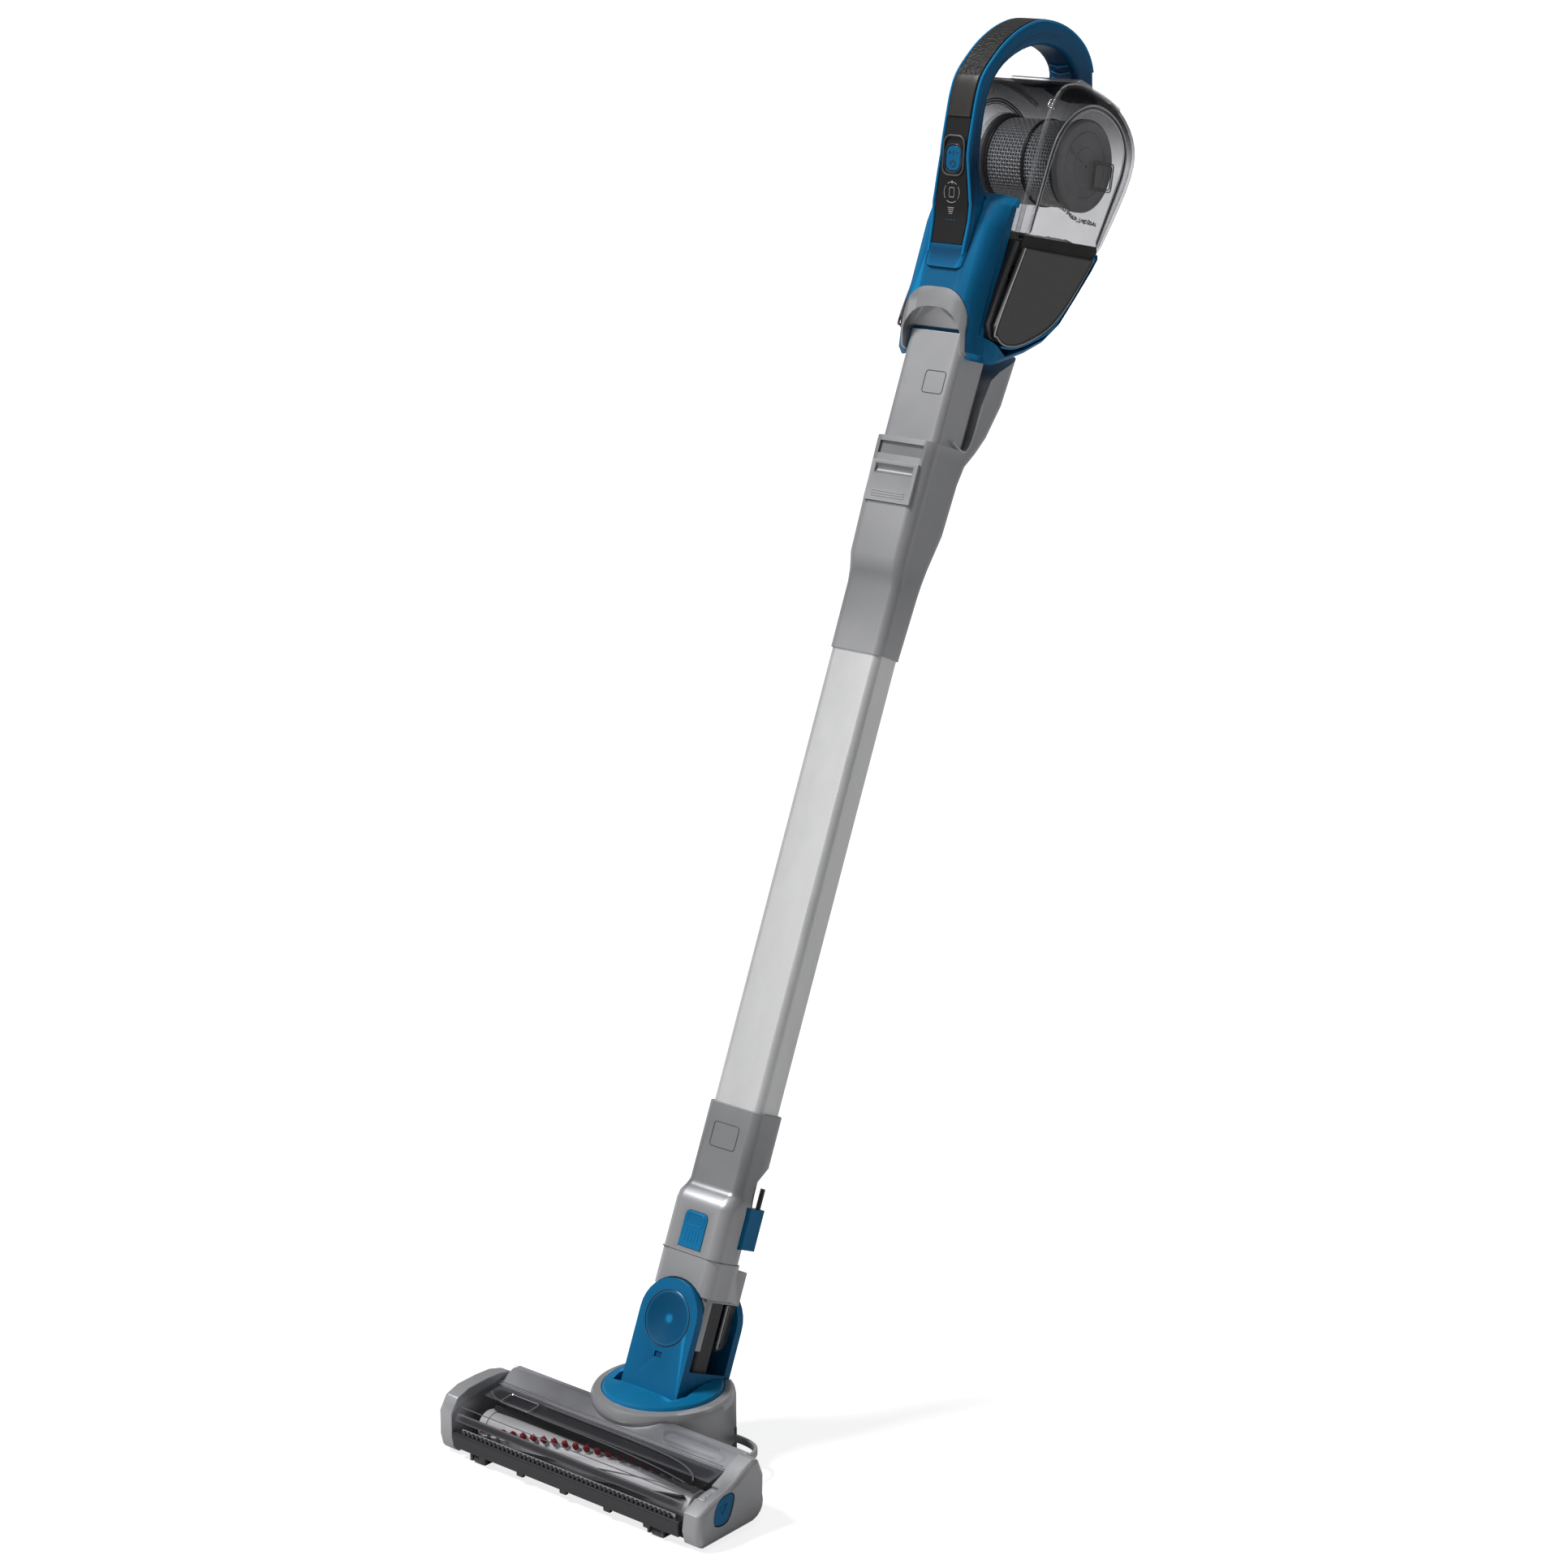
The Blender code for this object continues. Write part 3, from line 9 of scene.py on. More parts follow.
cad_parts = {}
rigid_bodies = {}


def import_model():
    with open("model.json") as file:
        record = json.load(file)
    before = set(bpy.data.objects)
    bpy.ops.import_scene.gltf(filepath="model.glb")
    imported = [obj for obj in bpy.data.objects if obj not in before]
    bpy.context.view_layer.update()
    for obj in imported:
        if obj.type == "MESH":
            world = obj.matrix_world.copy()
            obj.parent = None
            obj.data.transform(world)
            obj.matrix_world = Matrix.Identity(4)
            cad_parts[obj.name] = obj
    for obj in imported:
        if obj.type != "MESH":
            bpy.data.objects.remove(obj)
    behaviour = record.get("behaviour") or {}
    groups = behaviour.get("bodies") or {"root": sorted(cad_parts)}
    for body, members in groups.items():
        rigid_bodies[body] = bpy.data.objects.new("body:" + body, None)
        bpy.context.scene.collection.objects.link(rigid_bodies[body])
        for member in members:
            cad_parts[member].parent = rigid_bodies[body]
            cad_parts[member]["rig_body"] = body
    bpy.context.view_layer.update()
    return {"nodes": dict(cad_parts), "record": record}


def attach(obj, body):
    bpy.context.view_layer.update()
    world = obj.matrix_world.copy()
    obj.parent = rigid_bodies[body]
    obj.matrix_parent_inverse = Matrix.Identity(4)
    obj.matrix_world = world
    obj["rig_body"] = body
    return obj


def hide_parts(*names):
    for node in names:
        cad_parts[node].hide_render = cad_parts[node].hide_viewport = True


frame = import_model()
NODES = frame["nodes"]
BODY_OF = {name: node["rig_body"] for name, node in NODES.items()}
SLOT_OF = {row["node"]: row.get("material_slot") for row in frame["record"]["subparts"]}

# Two working frames: the floor head, and the stick that leans back from it.
LEAN = math.radians(22.7)
FOOT_MIDDLE = 0.3175
HEAD = Matrix.Translation((0.0, -FOOT_MIDDLE, 0.0))
STICK = Matrix.Translation((0.0, 0.117 - FOOT_MIDDLE, 0.1102)) @ Matrix.Rotation(-LEAN, 4, "X")

BRUSH_Y, BRUSH_Z, CORE_R = 0.0315, 0.0195, 0.0125
FILTER_Q, FILTER_S, FILTER_R = 0.088, 0.944, 0.034

# Wear, painted edge highlights and grain shared by all the materials. Scales are per metre, depths in metres.
DRIFT_SCALE, GRAIN_DEPTH, SCALE_DEPTH = 14.0, 0.0004, 0.0012
GLOSSIER, DULLER = 0.80, 1.25
# Pointiness where an edge starts to take its edge colour and takes it fully (partly wear, partly a painted
# highlight), and the upward normal where dust settles.
WEAR_AND_HIGHLIGHT_FROM, WEAR_AND_HIGHLIGHT_FULL = 0.512, 0.565
LYING_FROM = 0.75
SETTLED_DUST = (0.45, 0.44, 0.42)
# Clear walls: slow moulding flow, long fine scuffs, and the height over which the smoke sets in.
FLOW_SCALE, FLOW_DEPTH, SCUFF_SCALE = 26.0, 0.002, 160.0
SMOKE_SPAN, SMOKE_SHARE = 0.030, 0.50
# Joining and rounding of the CAD shapes. An edge that turns more than SHARP degrees is rounded.
WELD_GAP, FLAT_WITHIN = 1e-5, math.radians(0.7)
SHARP, ROUNDING_STEPS = 35, 3


# ---- materials ----

def node_of(tree, kind, **values):
    node = tree.nodes.new(kind)
    for key, value in values.items():
        node.inputs[key.replace("_", " ")].default_value = value
    return node


def mixed(tree, factor, first, second):
    """Colour mix; factor is a socket, first and second are colours or sockets."""
    mix = tree.nodes.new("ShaderNodeMix")
    mix.data_type = "RGBA"
    tree.links.new(factor, mix.inputs["Factor"])
    for slot, value in ((6, first), (7, second)):
        if isinstance(value, tuple):
            mix.inputs[slot].default_value = (*value, 1.0)
        else:
            tree.links.new(value, mix.inputs[slot])
    return mix.outputs[2]


def ranged(tree, value, low, high, to_low, to_high):
    span = node_of(tree, "ShaderNodeMapRange", From_Min=low, From_Max=high, To_Min=to_low, To_Max=to_high)
    tree.links.new(value, span.inputs["Value"])
    return span.outputs["Result"]


def place_of(tree, stretch=(1.0, 1.0, 1.0), turn=(0.0, 0.0, 0.0)):
    coord = tree.nodes.new("ShaderNodeTexCoord")
    mapping = node_of(tree, "ShaderNodeMapping", Scale=stretch, Rotation=turn)
    tree.links.new(coord.outputs["Object"], mapping.inputs["Vector"])
    return mapping.outputs["Vector"]


def noise_of(tree, place, scale, detail=3.0, rough=0.5):
    noise = node_of(tree, "ShaderNodeTexNoise", Scale=scale, Detail=detail, Roughness=rough)
    tree.links.new(place, noise.inputs["Vector"])
    return noise.outputs["Fac"]


def bumped(tree, height, strength, distance, under=None):
    bump = node_of(tree, "ShaderNodeBump", Strength=strength, Distance=distance)
    tree.links.new(height, bump.inputs["Height"])
    if under is not None:
        tree.links.new(under, bump.inputs["Normal"])
    return bump.outputs["Normal"]


def plastic(name, colour, rough=0.35, metal=0.0, coat=0.0, edge=None, vary=0.07, grain=1400.0, bump=0.10,
            stretch=(1.0, 1.0, 1.0), turn=(0.0, 0.0, 0.0), specular=0.5, scales=None, dust=0.0):
    """Moulded or painted surface: grain, slow colour drift, paler edges that stand for wear and a painted
    highlight, uneven gloss, settled dust.
    """
    material = bpy.data.materials.new(name)
    material.use_nodes = True
    tree = material.node_tree
    shader = tree.nodes["Principled BSDF"]
    place = place_of(tree, stretch, turn)
    fine = noise_of(tree, place, grain, 2.0)
    slow = noise_of(tree, place, DRIFT_SCALE, 4.0, 0.6)
    dark = tuple(c * (1.0 - vary) for c in colour)
    pale = tuple(min(1.0, c * (1.0 + vary)) for c in colour)
    tint = mixed(tree, ranged(tree, slow, 0.3, 0.7, 0.0, 1.0), dark, pale)
    geometry = tree.nodes.new("ShaderNodeNewGeometry")
    # The edge colour stands partly for wear and partly for a painted highlight along edges that catch the
    # light.
    if edge is not None:
        wear_and_highlight = ranged(tree, geometry.outputs["Pointiness"], WEAR_AND_HIGHLIGHT_FROM, WEAR_AND_HIGHLIGHT_FULL, 0.0, 1.0)
        tint = mixed(tree, wear_and_highlight, tint, edge)
    if dust:
        split = tree.nodes.new("ShaderNodeSeparateXYZ")
        tree.links.new(geometry.outputs["Normal"], split.inputs["Vector"])
        settled = ranged(tree, split.outputs["Z"], LYING_FROM, 1.0, 0.0, dust)
        tint = mixed(tree, settled, tint, SETTLED_DUST)
    tree.links.new(tint, shader.inputs["Base Color"])
    gloss = ranged(tree, slow, 0.25, 0.75, rough * GLOSSIER, rough * DULLER)
    tree.links.new(gloss, shader.inputs["Roughness"])
    normal = bumped(tree, fine, bump, GRAIN_DEPTH)
    if scales:
        cells = node_of(tree, "ShaderNodeTexVoronoi", Scale=scales)
        cells.feature = "SMOOTH_F1"
        tree.links.new(place, cells.inputs["Vector"])
        normal = bumped(tree, cells.outputs["Distance"], 0.9, SCALE_DEPTH, normal)
    tree.links.new(normal, shader.inputs["Normal"])
    shader.inputs["Metallic"].default_value = metal
    shader.inputs["Coat Weight"].default_value = coat
    shader.inputs["Coat Roughness"].default_value = 0.08
    shader.inputs["Specular IOR Level"].default_value = specular
    return material


def clear_plastic(name, tint, body, least=0.05, most=0.75, rough=0.04, haze=0.05, smoked_from=None):
    """Thin clear wall: passes light tinted, mirrors more at grazing angles, with faint scuffs and flow marks.

    smoked_from is the height along the stick where a darker smoke begins."""
    material = bpy.data.materials.new(name)
    material.use_nodes = True
    tree = material.node_tree
    shader = tree.nodes["Principled BSDF"]
    shader.inputs["Roughness"].default_value = rough
    shader.inputs["Coat Weight"].default_value = 0.6
    place = place_of(tree)
    flow = noise_of(tree, place, FLOW_SCALE, 3.0)
    scuff = noise_of(tree, place_of(tree, (1.0, 9.0, 1.0), (0.4, 0.0, 0.0)), SCUFF_SCALE, 4.0, 0.7)
    streaks = ranged(tree, flow, 0.3, 0.7, 0.0, 1.0)
    tree.links.new(mixed(tree, streaks, body, tuple(c * 1.25 for c in body)), shader.inputs["Base Color"])
    tree.links.new(bumped(tree, flow, 0.25, FLOW_DEPTH), shader.inputs["Normal"])
    through = tree.nodes.new("ShaderNodeBsdfTransparent")
    passed = mixed(tree, streaks, tint, tuple(min(1.0, c * 1.05) for c in tint))
    if smoked_from is not None:
        up_stick = tree.nodes.new("ShaderNodeVectorMath")
        up_stick.operation = "DOT_PRODUCT"
        up = Vector((0.0, math.sin(LEAN), math.cos(LEAN)))
        up_stick.inputs[1].default_value = up
        tree.links.new(place, up_stick.inputs[0])
        start = smoked_from + STICK.translation.dot(up)
        height = ranged(tree, up_stick.outputs["Value"], start, start + SMOKE_SPAN, 0.0, 1.0)
        passed = mixed(tree, height, passed, tuple(c * SMOKE_SHARE for c in tint))
    tree.links.new(passed, through.inputs["Color"])
    facing = node_of(tree, "ShaderNodeLayerWeight", Blend=0.22)
    share = ranged(tree, facing.outputs["Facing"], 0.0, 1.0, least, most)
    marks = ranged(tree, scuff, 0.62, 0.80, 0.0, haze)
    total = tree.nodes.new("ShaderNodeMath")
    total.operation = "ADD"
    total.use_clamp = True
    tree.links.new(share, total.inputs[0])
    tree.links.new(marks, total.inputs[1])
    mix = tree.nodes.new("ShaderNodeMixShader")
    tree.links.new(total.outputs[0], mix.inputs[0])
    tree.links.new(through.outputs[0], mix.inputs[1])
    tree.links.new(shader.outputs[0], mix.inputs[2])
    tree.links.new(mix.outputs[0], tree.nodes["Material Output"].inputs["Surface"])
    return material


# Pale cyan that the blue parts' edges turn to: a painted highlight, the light those edges catch.
EDGE_HIGHLIGHT_CYAN = (0.010, 0.260, 0.560)
ALONG_STICK = (LEAN, 0.0, 0.0)
# Every material: colour, roughness, then what sets its surface apart.
MAT = {
    "blue": plastic("blue_moulding", (0.0003, 0.078, 0.185), 0.36, edge=EDGE_HIGHLIGHT_CYAN, bump=0.06, dust=0.02,
                    specular=0.20),
    # Navy: the deep blue moulding made as dark as the handle's shaded flanks, so partly its own colour and
    # partly painted shade.
    "navy": plastic("navy_moulding_and_painted_shade", (0.0005, 0.036, 0.105), 0.36, edge=EDGE_HIGHLIGHT_CYAN, bump=0.06, dust=0.01,
                    specular=0.22),
    "bezel_blue": plastic("collar_plate_blue", (0.0004, 0.150, 0.320), 0.34, edge=EDGE_HIGHLIGHT_CYAN, bump=0.05,
                          specular=0.25),
    # Bright blue for the rods that stand for the painted highlight along blue edges, and for the control
    # panel's dots.
    "rim_blue": plastic("painted_highlight_and_dot_blue", (0.001, 0.330, 0.680), 0.32, edge=EDGE_HIGHLIGHT_CYAN, bump=0.05,
                        specular=0.25),
    "silver": plastic("silver_paint", (0.310, 0.312, 0.324), 0.34, metal=0.45, edge=(0.62, 0.62, 0.64),
                      grain=2600.0, bump=0.10, vary=0.05, dust=0.05),
    "tube": plastic("anodised_tube", (0.86, 0.86, 0.865), 0.30, metal=0.50, grain=240.0, bump=0.01,
                    vary=0.03, stretch=(4.0, 4.0, 0.30), turn=ALONG_STICK),
    "panel": plastic("satin_dark_panel", (0.085, 0.083, 0.081), 0.42, edge=(0.12, 0.12, 0.12), grain=2200.0,
                     bump=0.22, dust=0.04),
    "dark": plastic("dark_plastic", (0.022, 0.022, 0.024), 0.45, edge=(0.10, 0.10, 0.10), bump=0.16,
                    dust=0.04, specular=0.35),
    "black": plastic("black_gloss", (0.007, 0.007, 0.008), 0.20, edge=(0.05, 0.05, 0.055), bump=0.03),
    "grip": plastic("scaled_grip", (0.020, 0.019, 0.018), 0.55, scales=340.0, bump=0.2, specular=0.35,
                    stretch=(1.0, 1.6, 1.6), turn=ALONG_STICK),
    "taupe": plastic("soft_grip_band", (0.040, 0.037, 0.034), 0.34, specular=0.4, bump=0.06),
    "panel_black": plastic("control_panel_black", (0.013, 0.013, 0.013), 0.28, specular=0.35, bump=0.03),
    "red": plastic("red_nylon", (0.400, 0.010, 0.012), 0.62, grain=3000.0, bump=0.5, vary=0.25,
                   specular=0.2),
    "core": plastic("brush_core_grey", (0.62, 0.62, 0.62), 0.40, edge=(0.80, 0.80, 0.80), dust=0.05),
    "rubber": plastic("soft_rubber", (0.022, 0.022, 0.022), 0.72, bump=0.35, dust=0.12),
    "steel": plastic("machined_steel", (0.56, 0.56, 0.57), 0.28, metal=1.0, grain=700.0, bump=0.1,
                     stretch=(0.2, 6.0, 6.0)),
    "trim": plastic("bright_trim", (0.72, 0.72, 0.74), 0.18, metal=0.9, bump=0.03),
    "ink": plastic("pale_print", (0.62, 0.63, 0.64), 0.5, bump=0.05),
    "board": plastic("board_green", (0.010, 0.070, 0.035), 0.4, coat=0.4),
    "cell": plastic("cell_wrap", (0.10, 0.18, 0.20), 0.35, coat=0.3),
    "white": plastic("white_nylon", (0.66, 0.66, 0.65), 0.45),
    "mesh": plastic("woven_mesh", (0.84, 0.84, 0.85), 0.30, bump=0.2),
    "disc": plastic("filter_disc_grey", (0.330, 0.330, 0.335), 0.42, edge=(0.24, 0.24, 0.24), bump=0.3,
                    dust=0.05),
    "fluff": plastic("settled_dust", (0.46, 0.45, 0.43), 0.95, grain=420.0, bump=0.8, vary=0.20),
    "insert": plastic("window_insert", (0.028, 0.028, 0.030), 0.34, edge=(0.12, 0.12, 0.13), bump=0.05),
    "bowl": clear_plastic("smoky_clear_bowl", (0.88, 0.88, 0.89), (0.012, 0.012, 0.013), 0.040, 0.62,
                          haze=0.008, smoked_from=0.962),
    "door": clear_plastic("clear_side_door", (0.93, 0.93, 0.935), (0.030, 0.030, 0.032), 0.025, 0.55,
                          haze=0.008),
    "window": clear_plastic("clear_brush_window", (0.94, 0.94, 0.95), (0.040, 0.040, 0.042), 0.020, 0.36,
                            haze=0.010),
    # A bright clear material for the rods along the bowl's rounded edges: a painted highlight.
    "ridge": clear_plastic("bowl_ridge_painted_glint", (0.94, 0.94, 0.945), (0.55, 0.55, 0.56), 0.22, 0.85),
    "smoke": clear_plastic("smoked_insert", (0.58, 0.58, 0.59), (0.020, 0.020, 0.021), 0.06, 0.34,
                           haze=0.01),
    "duct_clear": clear_plastic("clear_duct_cover", (0.82, 0.82, 0.83), (0.18, 0.18, 0.18), 0.10, 0.70),
}


# ---- mesh building ----

def piece(name, verts, faces, where, body, material, bevel=0.0, sharp=SHARP, slot=None, replaces=()):
    """A visual piece from vertices in a working frame, riding on a CAD body."""
    mesh = bpy.data.meshes.new(name)
    mesh.from_pydata([tuple(where @ Vector(v)) for v in verts], [], faces)
    bm = bmesh.new()
    bm.from_mesh(mesh)
    bmesh.ops.recalc_face_normals(bm, faces=bm.faces)
    bm.to_mesh(mesh)
    bm.free()
    dress(name, mesh, body, material, bevel, sharp, replaces)


def dress(name, mesh, body, material, bevel, sharp, replaces):
    """Round the sharp edges, shade what is left smooth, and put the piece on its body."""
    if bevel:
        bm = bmesh.new()
        bm.from_mesh(mesh)
        corners = [edge for edge in bm.edges
                   if len(edge.link_faces) == 2 and edge.calc_face_angle(0.0) > math.radians(sharp)]
        bmesh.ops.bevel(bm, geom=corners, offset=bevel, offset_type="OFFSET", segments=ROUNDING_STEPS,
                        profile=0.5, affect="EDGES", clamp_overlap=True, miter_outer="ARC",
                        spread=bevel * 0.5)
        bm.to_mesh(mesh)
        bm.free()
    mesh.materials.clear()
    mesh.materials.append(MAT[material])
    mesh.polygons.foreach_set("material_index", [0] * len(mesh.polygons))
    mesh.polygons.foreach_set("use_smooth", [True] * len(mesh.polygons))
    mesh.set_sharp_from_angle(angle=math.radians(sharp))
    item = bpy.data.objects.new(name, mesh)
    bpy.context.scene.collection.objects.link(item)
    weighted = item.modifiers.new("shading", "WEIGHTED_NORMAL")
    weighted.keep_sharp = True
    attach(item, body)
    if replaces:
        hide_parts(*replaces)


def look(node, material, bevel):
    """A CAD node's shape with its facets merged into smooth faces and its edges softened."""
    bm = bmesh.new()
    bm.from_mesh(NODES[node].data)
    bmesh.ops.remove_doubles(bm, verts=bm.verts, dist=WELD_GAP)
    if node != "head_base":
        # The base keeps its triangles: a flat face around its large openings would be drawn closed.
        bmesh.ops.dissolve_limit(bm, angle_limit=FLAT_WITHIN, verts=bm.verts, edges=bm.edges)
    mesh = bpy.data.meshes.new(node + "_skin")
    bm.to_mesh(mesh)
    bm.free()
    dress(node + "_skin", mesh, BODY_OF[node], material, bevel, SHARP, (node,))


def keep(node, material):
    """A CAD node shown as it is, with a finished material."""
    mesh = NODES[node].data
    mesh.materials.clear()
    mesh.materials.append(MAT[material])
    mesh.polygons.foreach_set("material_index", [0] * len(mesh.polygons))


def tube(points, radius, closed=False, sides=8):
    """Vertices and faces of a round rod along points, with flat ends."""
    points = [Vector(p) for p in points]
    count = len(points)
    verts, faces, across = [], [], None
    for i, point in enumerate(points):
        before = points[(i - 1) % count] if closed or i else points[0]
        after = points[(i + 1) % count] if closed or i < count - 1 else points[-1]
        along = (after - before).normalized()
        if across is None:
            across = along.orthogonal().normalized()
        across = (across - along * across.dot(along)).normalized()
        up = along.cross(across)
        for k in range(sides):
            turn = 2 * math.pi * k / sides
            verts.append(point + (across * math.cos(turn) + up * math.sin(turn)) * radius)
    for i in range(count if closed else count - 1):
        for k in range(sides):
            a, b = i * sides, ((i + 1) % count) * sides
            faces.append((a + k, a + (k + 1) % sides, b + (k + 1) % sides, b + k))
    if not closed:
        faces.append(tuple(range(sides))[::-1])
        faces.append(tuple((count - 1) * sides + k for k in range(sides)))
    return verts, faces


def gathered(parts):
    """Several (verts, faces) as one."""
    verts, faces = [], []
    for part_verts, part_faces in parts:
        start = len(verts)
        verts += list(part_verts)
        faces += [tuple(start + i for i in face) for face in part_faces]
    return verts, faces


def turned(profile, centre, sides=64, axis="x"):
    """A closed (along, radius) profile turned about the x or q axis through centre."""
    verts, faces, n = [], [], len(profile)
    for k in range(sides):
        turn = 2 * math.pi * k / sides
        for along, radius in profile:
            a, b = radius * math.cos(turn), radius * math.sin(turn)
            if axis == "x":
                verts.append((along, centre[0] + a, centre[1] + b))
            else:
                verts.append((centre[0] + a, along, centre[1] + b))
    for k in range(sides):
        for i in range(n):
            a, b = k * n, ((k + 1) % sides) * n
            faces.append((a + i, a + (i + 1) % n, b + (i + 1) % n, b + i))
    return verts, faces


def plate(outline, low, high, lift):
    """A flat plate: outline points go through lift(u, v, depth) at two depths."""
    n = len(outline)
    verts = [lift(u, v, low) for u, v in outline] + [lift(u, v, high) for u, v in outline]
    faces = [tuple(range(n))[::-1], tuple(range(n, 2 * n))]
    faces += [(i, (i + 1) % n, n + (i + 1) % n, n + i) for i in range(n)]
    return verts, faces


def facing_front(u, v, depth):
    return u, depth, v


def lying(u, v, depth):
    return u, v, depth


def facing_side(u, v, depth):
    return depth, u, v


def arc(cx, cy, radius, start, end, steps):
    """Points of a circle's arc between two angles in degrees."""
    return [(cx + radius * math.cos(math.radians(start + (end - start) * k / steps)),
             cy + radius * math.sin(math.radians(start + (end - start) * k / steps)))
            for k in range(steps + 1)]


def rounded(cx, cy, half, high, radius, steps=5, turn=0.0):
    """Rounded rectangle outline, turned by an angle in degrees."""
    points = []
    for k, (a, b) in enumerate(((1, 1), (-1, 1), (-1, -1), (1, -1))):
        points += arc(a * (half - radius), b * (high - radius), radius, 90 * k, 90 * k + 90, steps)
    c, s = math.cos(math.radians(turn)), math.sin(math.radians(turn))
    return [(cx + u * c - v * s, cy + u * s + v * c) for u, v in points]


def smooth(points, steps):
    """Catmull-Rom curve through points."""
    last = len(points) - 1
    line = []
    for i in range(last):
        near = [Vector(points[min(max(j, 0), last)]) for j in (i - 1, i, i + 1, i + 2)]
        for k in range(steps):
            t = k / steps
            line.append(tuple(0.5 * (2 * near[1] + (near[2] - near[0]) * t
                                     + (2 * near[0] - 5 * near[1] + 4 * near[2] - near[3]) * t * t
                                     + (3 * near[1] - near[0] - 3 * near[2] + near[3]) * t ** 3)))
    return line + [tuple(points[-1])]


# ---- CAD shapes that stay, with softened edges: node, material, rounding ----

for node, material, bevel in (
        ("handheld_body", "blue", 0.001), ("handle_shell", "navy", 0.0006),
        ("nozzle_cover", "silver", 0.0008), ("nozzle_duct", "silver", 0.0004),
        ("upper_socket", "silver", 0.0006), ("neck_shell", "silver", 0.0005),
        ("neck_lower_shell", "silver", 0.0004), ("fork", "blue", 0.0007),
        ("pivot_cap_rear", "blue", 0.0003), ("swivel_bezel", "bezel_blue", 0.0005),
        ("head_cover", "silver", 0.0007), ("end_cap_left", "silver", 0.001),
        ("end_cap_right", "silver", 0.001), ("contact_block", "blue", 0.0012),
        ("front_bumper", "black", 0.0007), ("socket_button", "silver", 0.0004),
        ("bowl_latch", "silver", 0.0006), ("brush_release_button", "blue", 0.0008),
        ("window_latch", "silver", 0.0005), ("power_button", "blue", 0.0008),
        ("neck_button", "blue", 0.0006), ("wand_tube", "tube", 0.0002), ("neck_duct", "dark", 0.0004),
        ("rear_loop_left", "silver", 0.0008), ("rear_loop_right", "silver", 0.0008),
        ("head_base", "dark", 0.0004), ("motor_case", "black", 0.001),
        ("side_panel_left", "panel", 0.0005), ("side_panel_right", "panel", 0.0005),
        ("control_panel", "panel_black", 0.0002), ("handle_grip", "grip", 0.0003),
        ("dust_bowl", "bowl", 0.0), ("bowl_door", "door", 0.0004), ("brush_window", "window", 0.0003),
        ("duct_cover", "duct_clear", 0.0003), ("rear_wheel_left", "rubber", 0.0006),
        ("rear_wheel_right", "rubber", 0.0006), ("front_roller_left", "dark", 0.0003),
        ("front_roller_right", "dark", 0.0003)):
    look(node, material, bevel)

# Inner parts, mostly hidden, keep their CAD faces.
for node, material in (
        ("suction_motor", "steel"), ("battery_pack", "cell"), ("circuit_board", "board"),
        ("impeller", "white"), ("socket_button_spring", "steel"), ("neck_button_spring", "steel"),
        ("contact_pin_left", "black"), ("contact_pin_right", "black"), ("brush_motor", "steel"),
        ("motor_pulley", "steel"), ("pitch_axle", "steel"), ("drive_belt", "rubber"),
        ("brush_pulley", "dark"), ("filter_frame", "disc")):
    keep(node, material)


# ---- floor brush: core, blades and tufts ----

# Each row of blades or tufts winds 125 degrees round the core between its ends.
ROW_HALF, ROW_START, ROW_WIND = 0.104, 170.0, 125.0
BLADE_HALF, BLADE_STEPS = 0.1035, 60
TUFTS, TUFT_HALF, STRANDS, STRAND_R = 21, 0.099, 20, 0.00038
STRAND_SPIN, STRAND_GAP = 2.4, 0.00038
ROOT_R, SOCKET_R, BEND_R, TIP_R = 0.0122, 0.0023, 0.015, 0.0177


def on_brush(x, radius, turn):
    """A point on the brush, at a place along it, a radius and an angle."""
    return (x, BRUSH_Y + radius * math.cos(turn), BRUSH_Z + radius * math.sin(turn))


def row_turn(phase, x):
    """The angle of a row at a place along the brush."""
    return phase + math.radians(ROW_START - ROW_WIND * (x + ROW_HALF) / (2 * ROW_HALF))


# The core's outline from end to end, as (x, radius).
core = [(-0.1178, 0.001), (-0.1178, 0.003), (-0.1086, 0.003), (-0.1086, 0.0118), (-0.1075, CORE_R),
        (-0.101, CORE_R), (-0.1005, 0.0116), (0.1005, 0.0116), (0.101, CORE_R), (0.1075, CORE_R),
        (0.1086, 0.0118), (0.1086, 0.003), (0.1178, 0.003), (0.1178, 0.001)]
piece("brush_core", *turned(core, (BRUSH_Y, BRUSH_Z)), HEAD, "brush", "core", 0.0002, slot="white_plastic",
      replaces=("brush_roll",))
# Two rubber blades and two low ridges: list, inner and outer radius, half thickness, lag behind the row.
blades, ridges = [], []
for phase in (0.5 * math.pi, 1.5 * math.pi):
    for store, low, high, thick, lag in (
            (blades, 0.011, 0.0166, 0.0008, 0.0), (ridges, 0.011, 0.0131, 0.003, -0.9)):
        verts = []
        for k in range(BLADE_STEPS + 1):
            x = -BLADE_HALF + 2 * BLADE_HALF * k / BLADE_STEPS
            turn = row_turn(phase + lag, x)
            for radius, side in ((low, -1), (high, -1), (high, 1), (low, 1)):
                verts.append(on_brush(x, radius, turn + side * thick / radius))
        last = 4 * BLADE_STEPS
        faces = [(0, 1, 2, 3), (last + 3, last + 2, last + 1, last)]
        faces += [(4 * k + i, 4 * k + (i + 1) % 4, 4 * k + 4 + (i + 1) % 4, 4 * k + 4 + i)
                  for k in range(BLADE_STEPS) for i in range(4)]
        store.append((verts, faces))
piece("brush_blades", *gathered(blades), HEAD, "brush", "rubber", 0.0001, slot="soft_rubber")
piece("brush_ridges", *gathered(ridges), HEAD, "brush", "core", 0.0002, slot="white_plastic")
